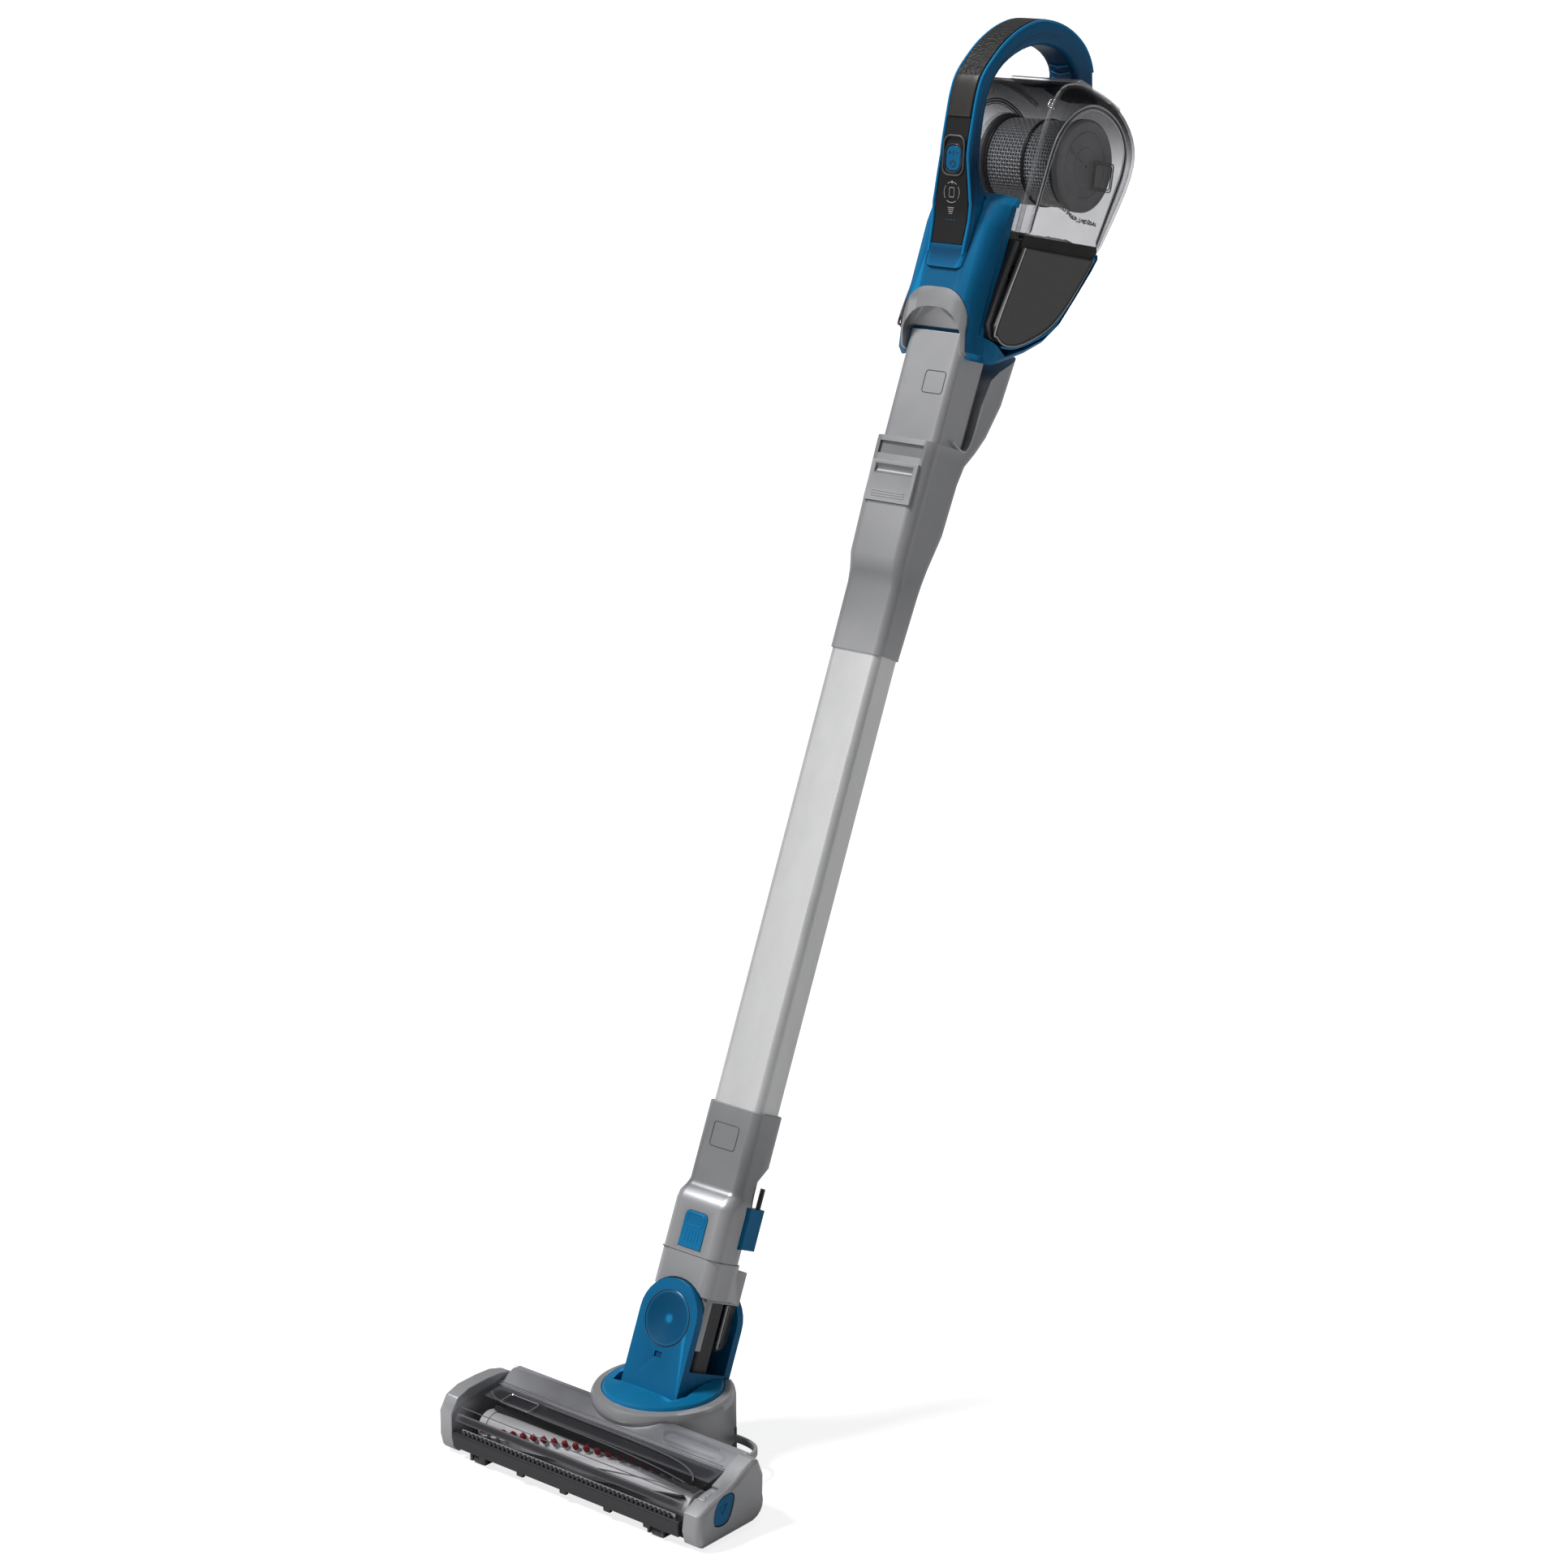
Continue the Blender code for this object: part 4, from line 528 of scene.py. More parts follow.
# Two rows of nylon tufts, each a spiral of strands that splay and end at slightly different heights.
dice = random.Random(7)
for letter, phase in (("a", 0.0), ("b", math.pi)):
    tufts, roots = [], []
    for k in range(TUFTS):
        x = -TUFT_HALF + 2 * TUFT_HALF * k / (TUFTS - 1)
        turn = row_turn(phase, x)
        roots.append(tube([on_brush(x, 0.0108, turn), on_brush(x, 0.0132, turn)], SOCKET_R, sides=12))
        for j in range(STRANDS):
            spin, out = STRAND_SPIN * j, STRAND_GAP * math.sqrt(j)
            side, along = out * math.cos(spin), out * math.sin(spin)
            splay = 1.10 + 0.20 * dice.random()
            tip = TIP_R + 0.0003 * dice.random()
            strand = [on_brush(x + along, ROOT_R, turn + side / CORE_R),
                      on_brush(x + along * 1.2, BEND_R, turn + side * 1.2 / CORE_R),
                      on_brush(x + along * splay, tip, turn + side * splay / BEND_R)]
            tufts.append(tube(strand, STRAND_R, sides=5))
    piece("tufts_" + letter, *gathered(tufts), HEAD, "brush", "red", slot="red_bristle",
          replaces=("bristle_row_" + letter,))
    piece("tuft_sockets_" + letter, *gathered(roots), HEAD, "brush", "core", 0.0001, slot="white_plastic")


# ---- brush window: dark insert, ribs and badge outline ----

# The window's outer curve, front to rear, as (y, z).
GLASS = [(0.0015, 0.0245), (0.0022, 0.031), (0.006, 0.0372), (0.013, 0.0402), (0.03, 0.0425),
         (0.0504, 0.0455), (0.06, 0.05), (0.0706, 0.054)]
WINDOW_HALF, WINDOW_COLUMNS, WINDOW_ROWS = 0.1165, 44, 6
OPENING_LEFT, OPENING_SWEEP = 0.033, 0.015


def level(line, at):
    """Value of a rising broken line at a place."""
    for (a, low), (b, high) in zip(line, line[1:]):
        if at <= b:
            return low + (high - low) * max(0.0, at - a) / (b - a)
    return line[-1][1]


def on_glass(x, y, lift):
    """A point over the window's outer face."""
    return (x, y, level(GLASS, y) + lift)


def sheet_on_glass(outline, low, high):
    """A thin plate that follows the window's curve between an outline's front and rear edges."""
    columns, rows = WINDOW_COLUMNS, WINDOW_ROWS
    deep = rows + 1
    verts, faces = [], []
    for lift in (low, high):
        for i in range(columns + 1):
            x = -WINDOW_HALF + 2 * WINDOW_HALF * i / columns
            front, rear = outline(x)
            for j in range(deep):
                verts.append(on_glass(x, front + (rear - front) * j / rows, lift))
    size = (columns + 1) * deep
    for i in range(columns):
        for j in range(rows):
            a = i * deep + j
            b = a + deep
            faces += [(a, a + 1, b + 1, b), (size + a, size + b, size + b + 1, size + a + 1)]
    rim = ([i * deep for i in range(columns + 1)] + [columns * deep + j for j in range(1, deep)]
           + [i * deep + rows for i in range(columns - 1, -1, -1)] + list(range(rows - 1, 0, -1)))
    for near, far in zip(rim, rim[1:] + rim[:1]):
        faces.append((near, far, size + far, size + near))
    return verts, faces


def opening_rear(x):
    """Rear edge of the clear opening, deep at the left end and sweeping forward to the right."""
    share = (x + WINDOW_HALF) / (2 * WINDOW_HALF)
    return OPENING_LEFT - OPENING_SWEEP * share ** 1.6


# Plates on the inside of the glass, each between a front and a rear edge in y.
INSERT_BAND, LIP_BAND, SMOKE_REAR = (0.034, 0.0495), (0.0035, 0.007), 0.0338
INSERT_DEPTHS, FILM_DEPTHS = (-0.0036, -0.0024), (-0.0034, -0.0026)
piece("window_insert", *sheet_on_glass(lambda x: INSERT_BAND, *INSERT_DEPTHS), HEAD, "head", "insert",
      slot="smoke_plastic", replaces=("window_tint",))
piece("window_smoke", *sheet_on_glass(lambda x: (opening_rear(x), SMOKE_REAR), *FILM_DEPTHS), HEAD, "head",
      "smoke", slot="smoke_plastic")
piece("window_lip", *sheet_on_glass(lambda x: LIP_BAND, *FILM_DEPTHS), HEAD, "head", "insert",
      slot="smoke_plastic")
# Fine raised lines on the outside of the glass.
LINE_LIFT = 0.0001
swoosh = [(-0.060, 0.0445), (0.020, 0.044), (0.060, 0.0428), (0.085, 0.0395), (0.101, 0.033),
          (0.108, 0.026)]
inner = [(-0.112, 0.038), (-0.095, 0.031), (-0.060, 0.03), (0.020, 0.029), (0.070, 0.026),
         (0.104, 0.0215)]
for name, line, radius in (("window_swoosh", swoosh, 0.0007), ("window_inner_line", inner, 0.0005)):
    path = [on_glass(x, y, LINE_LIFT) for x, y in smooth(line, 8)]
    piece(name, *tube(path, radius), HEAD, "head", "insert", slot="smoke_plastic")
path = [on_glass(x, y, LINE_LIFT) for x, y in rounded(-0.08, 0.037, 0.015, 0.0062, 0.0025)]
piece("window_badge", *tube(path, 0.0004, closed=True), HEAD, "head", "trim", slot="clear_plastic")
grooves = [tube([on_glass(x, y, LINE_LIFT) for x in (-0.115, 0.115)], 0.0004)
           for y in (0.0098, 0.05, 0.052)]
piece("window_lines", *gathered(grooves), HEAD, "head", "trim", slot="clear_plastic")
# A clear lip where the window runs up to the swivel collar.
FLANGE_R, FLANGE_Y, FLANGE_Z = 0.0562, 0.1118, 0.0395
flange = [(FLANGE_R * math.cos(a), FLANGE_Y + FLANGE_R * math.sin(a), FLANGE_Z)
          for a in (math.radians(202 + 136 * k / 40) for k in range(41))]
flange = [p for p in flange if p[1] < 0.095]
piece("collar_flange", *tube(flange, 0.0011), HEAD, "head", "window", slot="clear_plastic")
# The bumper's row of dark teeth in front of a pale strip, and the small feet under it.
COMB_Z, COMB_START, COMB_PITCH, COMB_TEETH = 0.0228, -0.106, 0.0046, 47
TOOTH, TOOTH_FRONT, TOOTH_REAR = (0.0011, 0.0018, 0.0003), 0.0022, 0.0036
teeth = [plate(rounded(COMB_START + COMB_PITCH * k, COMB_Z, *TOOTH), TOOTH_FRONT, TOOTH_REAR, facing_front)
         for k in range(COMB_TEETH)]
piece("bumper_comb", *gathered(teeth), HEAD, "head", "black", slot="black_gloss")
backing = plate(rounded(0.0, COMB_Z, 0.11, 0.0014, 0.0006), 0.0046, 0.0052, facing_front)
piece("bumper_comb_back", *backing, HEAD, "head", "white", 0.0001, slot="white_plastic")
clips = [plate(rounded(x, 0.0085, 0.0035, 0.0018, 0.0008), 0.0004, 0.003, facing_front)
         for x in (-0.085, -0.045, 0.0, 0.045, 0.085)]
piece("bumper_feet", *gathered(clips), HEAD, "head", "black", 0.0003, slot="black_gloss")
# Finger ridges on the window latch, and the arrow on the release button.
LATCH_X, LATCH_Y, BAR_PITCH, BAR_RISE = 0.1226, 0.021, 0.0032, 0.0004
bars = []
for k in range(4):
    outline = rounded(LATCH_X, LATCH_Y + BAR_PITCH * k, 0.0024, 0.0006, 0.0004)
    bars.append(plate(outline, 0.0352 + BAR_RISE * k, 0.0364 + BAR_RISE * k, lying))
piece("latch_ridges", *gathered(bars), HEAD, "window_latch", "silver", 0.0001, slot="silver_plastic")
BUTTON_X = 0.1341
arrow = [(BUTTON_X, 0.029, 0.0225), (BUTTON_X, 0.034, 0.03), (BUTTON_X, 0.0265, 0.0285)]
piece("release_mark", *tube(arrow, 0.0003, closed=True), HEAD, "brush_button", "navy", slot="blue_gloss")


# ---- hand unit: handle trim, grip zones, controls ----

# The handle's front line from the chin up and over to the rear leg, as (q, s).
FRONT = [(0.0, 0.832), (-0.0004, 0.843), (-0.0012, 0.85), (-0.004, 0.869), (-0.0095, 0.886),
         (-0.016, 0.904), (-0.0212, 0.921), (-0.025, 0.944), (-0.0272, 0.962), (-0.0264, 0.976),
         (-0.021, 0.99), (-0.0095, 1.0095), (0.0072, 1.0275), (0.027, 1.0402), (0.0505, 1.046),
         (0.073, 1.0455), (0.093, 1.0392), (0.108, 1.026), (0.119, 1.0036)]
HANDLE_HALF = 0.0145
HIGHLIGHT_ROD_R, SEAM_R = 0.0011, 0.00022
PANEL_S, PRINT_R = 0.888, 0.00022
FLARE_TOP, FLARE_FOOT, FLARE = 0.915, 0.880, 0.40
CHIN_TAPER, CHIN_LENGTH = 0.15, 0.048


def handle_width(s):
    """Half width of the front face as a share of the grip's: it flares round the controls."""
    if s > FLARE_TOP:
        return 1.0
    if s > FLARE_FOOT:
        return 1.0 + FLARE * (FLARE_TOP - s) / (FLARE_TOP - FLARE_FOOT)
    return 1.0 + FLARE - CHIN_TAPER * (FLARE_FOOT - s) / CHIN_LENGTH


def front_q(s):
    """The front line's q at a height on the lower handle."""
    return level([(z, q) for q, z in FRONT[:10]], s)


def proud_line(start, end, x_of, lift, steps=6):
    """Points along the handle's front line between two of its points, lifted off the surface."""
    line = smooth(FRONT, steps)[steps * start:steps * end + 1]
    points = []
    for i, (q, s) in enumerate(line):
        along = (Vector(line[min(i + 1, len(line) - 1)]) - Vector(line[max(i - 1, 0)])).normalized()
        points.append((x_of(s), q - along.y * lift, s + along.x * lift))
    return points


# Bright blue rods along the front face's edges: a painted highlight where those edges catch the light.
for side, sign in (("left", -1), ("right", 1)):
    highlight_rod = proud_line(1, 17, lambda s: sign * (HANDLE_HALF - 0.0016) * handle_width(s), -0.001)
    piece("handle_edge_highlight_" + side, *tube(highlight_rod, HIGHLIGHT_ROD_R), STICK, "hand_unit", "rim_blue", slot="blue_gloss")
    seam = proud_line(4, 14, lambda s: sign * (HANDLE_HALF + 0.00005) * handle_width(s), -0.0105)
    piece("handle_seam_" + side, *tube(seam, SEAM_R), STICK, "hand_unit", "black", slot="deep_blue")


ACROSS, EDGE_DROP = (-1.0, -0.92, -0.5, 0.0, 0.5, 0.92, 1.0), 0.0004


def strip_over_handle(start, end, half, low, high):
    """A thin skin over the handle's front line, between two depths, with its upper edges let down."""
    edges = [proud_line(start, end, lambda s, x=x: x * half * handle_width(s), lift)
             for lift in (low, high) for x in ACROSS]
    columns, count, n = len(edges), len(edges[0]), len(ACROSS)
    for k in (n, columns - 1):
        edges[k] = [(x, q + EDGE_DROP, s) for x, q, s in edges[k]]
    ring = list(range(n)) + list(range(columns - 1, n - 1, -1))
    verts = [edges[c][i] for i in range(count) for c in ring]
    faces = [tuple(range(columns))[::-1], tuple((count - 1) * columns + k for k in range(columns))]
    faces += [(i * columns + k, i * columns + (k + 1) % columns, (i + 1) * columns + (k + 1) % columns,
               (i + 1) * columns + k) for i in range(count - 1) for k in range(columns)]
    return verts, faces


piece("grip_band", *strip_over_handle(7, 9, 0.0108, -0.0004, 0.0009), STICK, "hand_unit", "taupe",
      slot="soft_rubber")
# Joints where the grip ends, below and on top.
for k, s in enumerate((0.944, 1.0395)):
    q = front_q(s) if k == 0 else 0.0262
    line = [(x, q - 0.0011 + abs(x) * 0.02, s) for x in (-0.0108, -0.005, 0.0, 0.005, 0.0108)]
    piece(f"grip_joint_{k}", *tube(line, 0.00035), STICK, "hand_unit", "black", slot="soft_rubber")


def drawn(name, lines, radius=PRINT_R, material="ink"):
    """Fine raised lines on the control panel, each a list of (x, s)."""
    parts = [tube([(x, front_q(s) - 0.0001, s) for x, s in line], radius, sides=6) for line in lines]
    piece(name, *gathered(parts), STICK, "hand_unit", material, slot="black_gloss")


# Generic signs on the control panel: a broken ring round a square, a plus, bars and dots.
rings = [arc(0.0, PANEL_S, 0.0074, start, start + 72, 10) for start in (-36, 54, 144, 234)]
drawn("panel_ring", rings)
drawn("panel_square", [rounded(0.0, PANEL_S, 0.0023, 0.0034, 0.0007) + [(0.0023, 0.8907)]])
drawn("panel_plus", [[(-0.0013, 0.8954), (0.0013, 0.8954)], [(0.0, 0.8941), (0.0, 0.8967)]], 0.0003)
bars = []
for k in range(4):
    half, s = 0.003 - 0.0004 * k, 0.877 - 0.0014 * k
    bars.append([(-half, s), (half, s)])
drawn("panel_bars", bars)
DOTS_S = 0.868
dots = [[(x, DOTS_S), (x + 0.0008, DOTS_S)] for x in (-0.004, -0.0015, 0.001, 0.0035)]
drawn("panel_dots", dots, 0.0003, "rim_blue")

BUTTON_Q, BUTTON_S, BUTTON_TILT = -0.0187, 0.9125, math.radians(17.5)
BUTTON = STICK @ Matrix.Translation((0.0, BUTTON_Q, BUTTON_S)) @ Matrix.Rotation(BUTTON_TILT, 4, "X")


def on_button(lines, radius):
    """Fine raised lines on the power button, each a list of (x, s)."""
    return gathered([tube([(x, -0.0007, z) for x, z in line], radius, sides=6) for line in lines])


# Plus, divider, minus, and the broken ring of a power sign.
glyphs = [[(-0.0046, 0.0042), (-0.0024, 0.0042)], [(-0.0035, 0.0031), (-0.0035, 0.0053)],
          [(0.0, 0.0026), (0.0, 0.0058)], [(0.0024, 0.0042), (0.0046, 0.0042)],
          arc(0.0, -0.004, 0.0024, 120, 420, 16), [(0.0, -0.0032), (0.0, -0.001)]]
piece("power_glyphs", *on_button(glyphs, 0.0003), BUTTON, "power_button", "black", slot="blue_gloss")
bezel = [(x, -0.0004, z) for x, z in rounded(0.0, 0.0, 0.008, 0.0106, 0.0064, 6)]
piece("power_bezel", *tube(bezel, 0.0007, closed=True), BUTTON, "hand_unit", "black", slot="black_gloss")
well = [(x, -0.0003, z) for x, z in rounded(0.0, 0.0022, 0.0098, 0.015, 0.006, 6)]
piece("power_well", *tube(well, 0.0007, closed=True), BUTTON, "hand_unit", "panel", slot="black_gloss")

# Finger marks on the inside of the handle's rear leg, which runs along LEG as (s, q).
LEG = [(1.0036, 0.0895), (1.015, 0.086), (1.0215, 0.079)]
CHEVRON_S, CHEVRON_PITCH = 1.0085, 0.0042
chevrons = []
for k in range(4):
    s = CHEVRON_S + CHEVRON_PITCH * k
    q = level(LEG, s)
    chevrons.append(tube([(-0.009, q, s), (0.0, q - 0.0007, s - 0.0022), (0.009, q, s)], 0.0006, sides=6))
piece("leg_chevrons", *gathered(chevrons), STICK, "hand_unit", "navy", slot="deep_blue")


# ---- dust bowl: filter, door lines, ribs and dust ----

# The screen is woven from hoops and lengthwise wires that pass over and under each other.
HOOPS, WIRES, WEAVE_R, WAVE = 27, 72, FILTER_R - 0.0012, 0.016
WEAVE_START, WEAVE_LENGTH = -0.0292, 0.0655
HOOP_R, WIRE_R = 0.00058, 0.00052


def on_filter(along, radius, turn):
    """A point of the screen, at a place along it, a radius and an angle."""
    across, up = radius * math.cos(turn), radius * math.sin(turn)
    return WEAVE_START + WEAVE_LENGTH * along, FILTER_Q + across, FILTER_S + up


weave = []
for k in range(HOOPS):
    line = [on_filter(k / (HOOPS - 1), WEAVE_R * (1 + WAVE * (-1) ** (i + k)), 2 * math.pi * i / WIRES)
            for i in range(WIRES)]
    weave.append(tube(line, HOOP_R, closed=True, sides=6))
for k in range(WIRES):
    line = [on_filter(i / (HOOPS - 1), WEAVE_R * (1 - WAVE * (-1) ** (i + k)), 2 * math.pi * k / WIRES)
            for i in range(HOOPS)]
    weave.append(tube(line, WIRE_R, sides=6))
piece("filter_weave", *gathered(weave), STICK, "filter", "mesh", sharp=80, slot="dark_plastic",
      replaces=("filter_mesh",))
# The filter's solid parts, each turned from an outline in (x, radius).
lining = [(-0.0298, 0.025), (-0.0298, 0.031), (0.0366, 0.031), (0.0366, 0.025)]
piece("filter_lining", *turned(lining, (FILTER_Q, FILTER_S)), STICK, "filter", "rubber",
      slot="dark_plastic")
BAND_FOOT, BAND_PROUD, BAND_CHAMFER = 0.0325, FILTER_R + 0.0006, 0.0006
bands = []
for x, width in ((-0.0304, 0.0034), (0.0055, 0.0036), (0.0335, 0.0034)):
    profile = [(x, BAND_FOOT), (x + BAND_CHAMFER, BAND_PROUD), (x + width - BAND_CHAMFER, BAND_PROUD),
               (x + width, BAND_FOOT)]
    bands.append(turned(profile, (FILTER_Q, FILTER_S)))
piece("filter_bands", *gathered(bands), STICK, "filter", "dark", 0.0002, slot="dark_plastic")
disc = [(0.0372, 0.001), (0.0372, 0.0345), (0.038, 0.0362), (0.043, 0.0362), (0.0446, 0.034),
        (0.0438, 0.0325), (0.0438, 0.027), (0.0446, 0.0262), (0.0446, 0.025), (0.0436, 0.0242),
        (0.0436, 0.015), (0.0444, 0.014), (0.0444, 0.001)]
piece("filter_disc", *turned(disc, (FILTER_Q, FILTER_S), 96), STICK, "filter", "disc", 0.0002,
      slot="dark_plastic", replaces=("filter_end_cap",))
RING_FOOT, RING_SIDE, RING_PEAK, RING_WIDTH = 0.03, 0.0366, 0.037, 0.0016
stack = []
for x in (-0.0395, -0.0345, -0.032):
    profile = [(x, RING_FOOT), (x, RING_SIDE), (x + RING_WIDTH / 2, RING_PEAK), (x + RING_WIDTH, RING_SIDE),
               (x + RING_WIDTH, RING_FOOT)]
    stack.append(turned(profile, (FILTER_Q, FILTER_S)))
piece("filter_rings", *gathered(stack), STICK, "filter", "door", slot="smoke_plastic")

# Outlines on the hand unit's flanks, as (q, s): the clear door and the dark panel under it.
DOOR = [(0.0345, 0.8722), (0.0352, 0.9022), (0.0366, 0.9415), (0.0415, 0.9595), (0.0502, 0.9734),
        (0.0626, 0.9841), (0.0752, 0.9898), (0.0905, 0.9914), (0.1077, 0.9884), (0.122, 0.981),
        (0.1315, 0.969), (0.134, 0.954), (0.1325, 0.9385), (0.1235, 0.8895)]
PANEL = [(0.035, 0.862), (0.0245, 0.796), (0.0285, 0.788), (0.04, 0.785), (0.056, 0.789),
         (0.076, 0.801), (0.092, 0.815), (0.104, 0.833), (0.115, 0.856), (0.1245, 0.879)]


def shrunk(line, depth):
    """An outline moved inwards by depth, towards its middle."""
    q0 = sum(q for q, _ in line) / len(line)
    s0 = sum(s for _, s in line) / len(line)
    moved = []
    for q, s in line:
        away = Vector((q - q0, s - s0))
        away *= 1 - depth / away.length
        moved.append((q0 + away.x, s0 + away.y))
    return moved


# Lines round the door and the panel: name, distance inside the outline, radius, material, distance sideways.
DOOR_LINES = (("rim", 0.0004, 0.0006, "silver", 0.0476), ("groove", 0.0024, 0.0006, "black", 0.0477),
              ("inner", 0.0042, 0.0004, "trim", 0.0477))
PANEL_LINES = (("rim", 0.0006, 0.0005, "silver", 0.0479), ("groove", 0.0022, 0.0006, "black", 0.0479))
BADGE_Q, BADGE_S = 0.108, 0.942


def flank_line(name, line, x, radius, body, material, slot, closed=False):
    """A fine rod along a line of (q, s) on one flank."""
    path = [(x, q, s) for q, s in line]
    piece(name, *tube(path, radius, closed=closed), STICK, body, material, slot=slot)


for side, sign, body in (("left", -1, "hand_unit"), ("right", 1, "bowl_door")):
    for name, depth, radius, material, x in DOOR_LINES:
        line = smooth(shrunk(DOOR, depth), 6)
        flank_line(f"door_{name}_{side}", line, sign * x, radius, body, material, "clear_plastic")
    for name, depth, radius, material, x in PANEL_LINES:
        line = smooth(shrunk(PANEL, depth), 6)
        flank_line(f"panel_{name}_{side}", line, sign * x, radius, "hand_unit", material, "dark_plastic")
    line = smooth(shrunk(PANEL[3:], -0.0026), 6)
    # A bright blue rod round the flank's edge beside the panel: a painted highlight on that edge.
    flank_line("shell_edge_highlight_" + side, line, sign * 0.0462, 0.0011, "hand_unit", "rim_blue", "blue_gloss")
    badge = rounded(BADGE_Q, BADGE_S, 0.013, 0.011, 0.003, 5, 12.0)
    for k, grow in ((0, 1.0), (1, 0.84)):
        line = [(BADGE_Q + (q - BADGE_Q) * grow, BADGE_S + (s - BADGE_S) * grow) for q, s in badge]
        flank_line(f"door_badge_{side}_{k}", line, sign * 0.0478, 0.0005, body, "dark", "clear_plastic", True)

# The dark seal between the bowl and the panel below it, as (q, s).
GASKET = [(0.033, 0.859), (0.033, 0.8712), (0.127, 0.8905), (0.129, 0.886), (0.125, 0.877)]
GASKET_IN, GASKET_OUT = 0.04, 0.0455
for side, sign in (("left", -1), ("right", 1)):
    gasket = plate(GASKET, sign * GASKET_IN, sign * GASKET_OUT, facing_side)
    piece("bowl_gasket_" + side, *gasket, STICK, "hand_unit", "rubber", 0.0003, slot="dark_plastic")

# The bowl's front and top edge, as (q, s).
BOWL_FRONT = [(0.0282, 0.872), (0.0282, 0.9), (0.0284, 0.94), (0.0306, 0.969), (0.0375, 0.9885),
              (0.051, 0.9975), (0.07, 1.0012), (0.095, 1.0014), (0.115, 0.999)]
# Bright clear rods just inside that edge on each flank: a painted highlight where the rounded wall catches
# the light.
for side, sign in (("left", -1), ("right", 1)):
    line = [(sign * 0.0405, q + 0.0012, s - 0.0004) for q, s in smooth(BOWL_FRONT, 6)]
    piece("bowl_glint_rod_" + side, *tube(line, 0.002, sides=12), STICK, "hand_unit", "ridge",
          slot="clear_plastic")
# A clear leaning wall inside the bowl, over the inlet.
BAFFLE_FOOT, BAFFLE_TOP, BAFFLE_LEAN = 0.874, 0.9, 0.35
baffle = plate([(-0.03, 0.042), (0.038, 0.042), (0.038, 0.044), (-0.03, 0.044)], BAFFLE_FOOT,
               BAFFLE_TOP, lambda x, q, s: (x, q + (s - BAFFLE_FOOT) * BAFFLE_LEAN, s))
piece("intake_baffle", *baffle, STICK, "hand_unit", "door", 0.0004, slot="clear_plastic")
# Specks along a wavy line on the inside of the door, and a shallow heap on the bowl's floor.
SPECKS, SPECK_X, SPECK_S, SPECK_WAVE = 260, 0.0446, 0.904, 0.0016
dust = []
for k in range(SPECKS):
    q = 0.043 + 0.076 * dice.random()
    s = SPECK_S + SPECK_WAVE * math.sin(120 * q) + 0.003 * (dice.random() - 0.5) + 0.12 * max(0.0, 0.056 - q)
    size = 0.00025 + 0.00045 * dice.random()
    far_end = (0.0443, q + 0.0012 * dice.random(), s + 0.0008 * dice.random())
    dust.append(tube([(SPECK_X, q, s), far_end], size, sides=5))
piece("dust_line", *gathered(dust), STICK, "hand_unit", "fluff", sharp=80, slot="clear_plastic")
HEAP_I, HEAP_J = 24, 32
HEAP_X, HEAP_Q, HEAP_S, HEAP_SLOPE, HEAP_THICK = 0.044, 0.033, 0.868, 0.21, 0.0008
heap_verts, heap_faces = [], []
for i in range(HEAP_I + 1):
    for j in range(HEAP_J + 1):
        x, q = -HEAP_X + 2 * HEAP_X * i / HEAP_I, HEAP_Q + 0.09 * j / HEAP_J
        edge = min(1.0, 6 * min(i, HEAP_I - i) / HEAP_I, 6 * min(j, HEAP_J - j) / HEAP_J)
        rise = 0.0045 + 0.0018 * math.sin(9 * q * 60) * dice.random() + 0.001 * dice.random()
        heap_verts.append((x, q, HEAP_S + (q - HEAP_Q) * HEAP_SLOPE + edge * rise))
row = HEAP_J + 1
for i in range(HEAP_I):
    for j in range(HEAP_J):
        a = i * row + j
        heap_faces.append((a, a + 1, a + row + 1, a + row))
edge_ring = (list(range(row)) + [i * row + HEAP_J for i in range(1, HEAP_I + 1)]
             + [HEAP_I * row + j for j in range(HEAP_J - 1, -1, -1)]
             + [i * row for i in range(HEAP_I - 1, 0, -1)])
base = len(heap_verts)
heap_verts += [(heap_verts[k][0], heap_verts[k][1], heap_verts[k][2] - HEAP_THICK) for k in edge_ring]
around = len(edge_ring)
for k in range(around):
    after = (k + 1) % around
    heap_faces.append((edge_ring[k], edge_ring[after], base + after, base + k))
heap_faces.append(tuple(range(base, base + around)))
piece("dust_bed", heap_verts, heap_faces, STICK, "hand_unit", "fluff", sharp=80, slot="clear_plastic")


# ---- wand, neck and fork details ----

def outline_on_front(name, cx, s, half, high, q, body, material, radius=0.00035, corner=0.0025,
                     slot="silver_plastic"):
    """A raised rounded outline on a front face, from its middle, half sizes and depth."""
    line = [(x, q, z) for x, z in rounded(cx, s, half, high, corner)]
    piece(name, *tube(line, radius, closed=True), STICK, body, material, slot=slot)


outline_on_front("nozzle_badge", 0.01, 0.745, 0.0098, 0.0088, 0.0147, "hand_unit", "dark")
outline_on_front("collar_badge", -0.001, 0.144, 0.0125, 0.0095, 0.0129, "neck", "dark")
outline_on_front("neck_button_frame", 0.0, 0.0772, 0.0082, 0.0048, 0.0034, "neck_button", "navy", 0.0004,
                 0.003, "blue_gloss")
ribs = [tube([(x, 0.0034, 0.06), (x, 0.0034, 0.069)], 0.0004, sides=6)
        for x in (-0.006, -0.003, 0.0, 0.003, 0.006)]
piece("neck_button_ribs", *gathered(ribs), STICK, "neck_button", "blue", slot="blue_gloss")
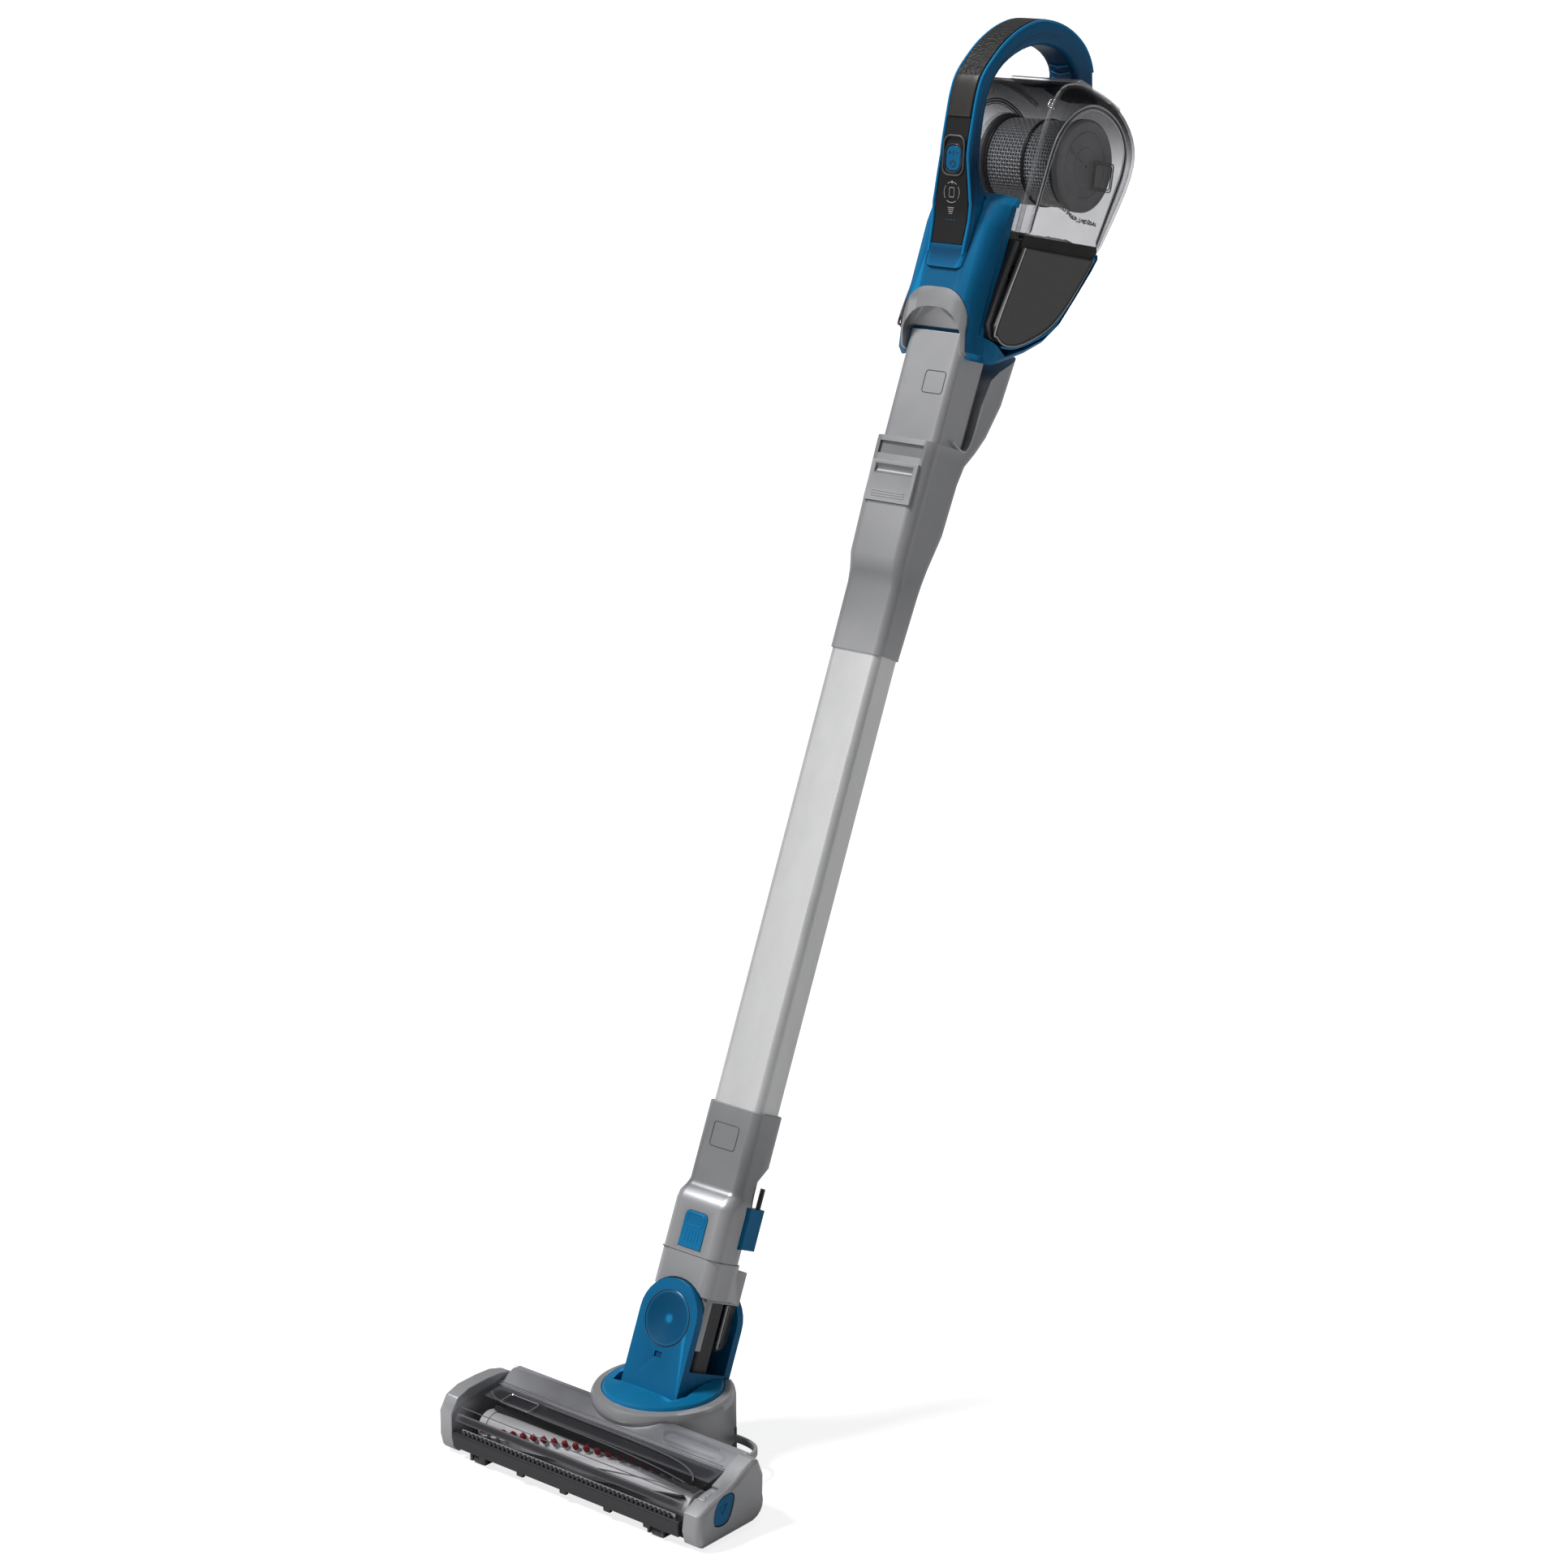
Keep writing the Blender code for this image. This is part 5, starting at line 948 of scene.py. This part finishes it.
# The fork's caps: a groove round each, and the front one's shallow dish as (q, radius).
CAP_GROOVE_R, CAP_FRONT_Q, CAP_REAR_Q = 0.0215, -0.0001, 0.0571
for name, q in (("cap_groove_front", CAP_FRONT_Q), ("cap_groove_rear", CAP_REAR_Q)):
    circle = [(x, q, z) for x, z in arc(0.0, 0.0, CAP_GROOVE_R, 0, 360, 72)[:-1]]
    piece(name, *tube(circle, 0.0004, closed=True), STICK, "fork", "black", slot="blue_gloss")
DISH_R, DISH_DEPTH = 0.02, 0.0026
dish = [(-0.0002 + DISH_DEPTH * (1 - (r / DISH_R) ** 2), r)
        for r in (0.0004, 0.004, 0.008, 0.012, 0.016, DISH_R)]
dish += [(-0.0002, 0.0205), (0.0004, 0.0213), (0.0069, 0.0213), (0.007, 0.0096), (0.0128, 0.0096),
         (0.0128, 0.0004)]
piece("pivot_cap_dish", *turned(dish, (0.0, 0.0), 96, "q"), STICK, BODY_OF["pivot_cap_front"], "blue",
      slot=SLOT_OF["pivot_cap_front"], replaces=("pivot_cap_front",))
# Lengthwise ribs and side edges of the clear cover behind the neck, and the neck's parting line.
ribs = [tube([(x, 0.0486, 0.018), (x, 0.0486, -0.006), (x, 0.046, -0.013)], 0.0007)
        for x in (-0.018, -0.009, 0.0, 0.009, 0.018)]
piece("duct_cover_ribs", *gathered(ribs), STICK, "neck", "trim", slot="clear_plastic")
sides = [tube([(x, 0.038, 0.019), (x, 0.038, -0.015)], 0.0008) for x in (-0.024, 0.024)]
piece("duct_cover_edges", *gathered(sides), STICK, "neck", "silver", slot="silver_plastic")
PARTING_S, PARTING_HALF, PARTING_FRONT, PARTING_REAR = 0.0512, 0.03, 0.004, 0.037
parting = rounded(0.0, (PARTING_FRONT + PARTING_REAR) / 2, PARTING_HALF, (PARTING_REAR - PARTING_FRONT) / 2,
                  0.0085, 6)
piece("neck_parting_line", *tube([(x, q, PARTING_S) for x, q in parting], 0.0003, closed=True), STICK,
      "neck", "dark", slot="silver_plastic")
# The raised edge of the upper socket's rear lobe, as (q, s), and the grip lines on its button.
LOBE_X, LOBE = 0.0302, [(0.03, 0.704), (0.046, 0.7), (0.053, 0.708), (0.0545, 0.74)]
for side, sign in (("left", -1), ("right", 1)):
    rim = [(sign * LOBE_X, q, s) for q, s in smooth(LOBE, 6)]
    piece("socket_rim_" + side, *tube(rim, 0.0008), STICK, "wand", "silver", slot="silver_plastic")
grips = [tube([(-0.016, 0.0063, s), (0.016, 0.0063, s)], 0.0005, sides=6)
         for s in (0.65, 0.652, 0.654)]
piece("socket_button_ridges", *gathered(grips), STICK, "socket_button", "silver", slot="silver_plastic")


# ---- camera, light and floor ----

def aimed(kind, name, place, target, **values):
    """A lamp at a place, turned to face a target."""
    data = bpy.data.lights.new(name, kind)
    for key, value in values.items():
        setattr(data, key, value)
    lamp = bpy.data.objects.new(name, data)
    bpy.context.scene.collection.objects.link(lamp)
    lamp.location = place
    lamp.rotation_euler = (Vector(target) - Vector(place)).to_track_quat("-Z", "Y").to_euler()


# The photograph's viewpoint, fitted to the object's outline.
CAMERA_PLACE, CAMERA_TILT, CAMERA_TURN = (1.80628, -2.15701, 1.26485), 74.6, 40.8
SENSOR_WIDTH, LENS = 36.0, 86.65

camera = bpy.data.objects.new("camera", bpy.data.cameras.new("camera"))
bpy.context.scene.collection.objects.link(camera)
camera.location = CAMERA_PLACE
camera.rotation_euler = (math.radians(CAMERA_TILT), 0.0, math.radians(CAMERA_TURN))
camera.data.sensor_width = SENSOR_WIDTH
camera.data.lens = LENS
bpy.context.scene.camera = camera

# A broad key from the front left, a tall glow for long highlights, and soft light from above and behind.
aimed("SUN", "key", (-1.0, -1.05, 2.6), (0.0, 0.0, 0.5), energy=2.5, angle=math.radians(14))
aimed("AREA", "window_glow", (-1.5, -2.3, 1.9), (0.0, 0.0, 0.6), shape="RECTANGLE", size=0.8, size_y=1.9,
      energy=4.5)
aimed("AREA", "top", (0.4, -0.2, 2.9), (0.0, 0.1, 0.4), shape="RECTANGLE", size=1.2, size_y=1.2, energy=4.0)
aimed("AREA", "edge", (2.3, 0.9, 1.4), (0.0, 0.1, 0.6), shape="RECTANGLE", size=0.30, size_y=2.4,
      energy=1.3)
aimed("AREA", "behind", (-1.0, 2.4, 1.6), (0.0, 0.2, 0.5), shape="RECTANGLE", size=0.8, size_y=2.0,
      energy=4.0)

# The backdrop and the floor look near white to the camera, and light the object only weakly.
SKY_SEEN, SKY_LIGHT = 1.0, 0.15
FLOOR_SEEN, FLOOR_LIGHT, FLOOR_HALF = 0.80, 0.02, 30

world = bpy.data.worlds.new("studio")
bpy.context.scene.world = world
world.use_nodes = True
sky = world.node_tree
backdrop = sky.nodes["Background"]
backdrop.inputs["Color"].default_value = (0.96, 0.98, 1.0, 1.0)
seen = sky.nodes.new("ShaderNodeLightPath")
strength = node_of(sky, "ShaderNodeMapRange", To_Min=SKY_LIGHT, To_Max=SKY_SEEN)
sky.links.new(seen.outputs["Is Camera Ray"], strength.inputs["Value"])
sky.links.new(strength.outputs["Result"], backdrop.inputs["Strength"])

floor_mesh = bpy.data.meshes.new("floor")
corners = [(x * FLOOR_HALF, y * FLOOR_HALF, 0) for x, y in ((-1, -1), (1, -1), (1, 1), (-1, 1))]
floor_mesh.from_pydata(corners, [], [(0, 1, 2, 3)])
floor = bpy.data.objects.new("floor", floor_mesh)
bpy.context.scene.collection.objects.link(floor)
floor_material = plastic("pale_floor", (0.50, 0.50, 0.50), 0.85, vary=0.01, grain=120.0, bump=0.02)
floor_tree = floor_material.node_tree
shader = floor_tree.nodes["Principled BSDF"]
shader.inputs["Emission Color"].default_value = (1.0, 1.0, 1.0, 1.0)
lifted = node_of(floor_tree, "ShaderNodeMapRange", To_Min=FLOOR_LIGHT, To_Max=FLOOR_SEEN)
floor_tree.links.new(floor_tree.nodes.new("ShaderNodeLightPath").outputs["Is Camera Ray"],
                     lifted.inputs["Value"])
floor_tree.links.new(lifted.outputs["Result"], shader.inputs["Emission Strength"])
floor_mesh.materials.append(floor_material)

bpy.context.scene.view_settings.view_transform = "Standard"
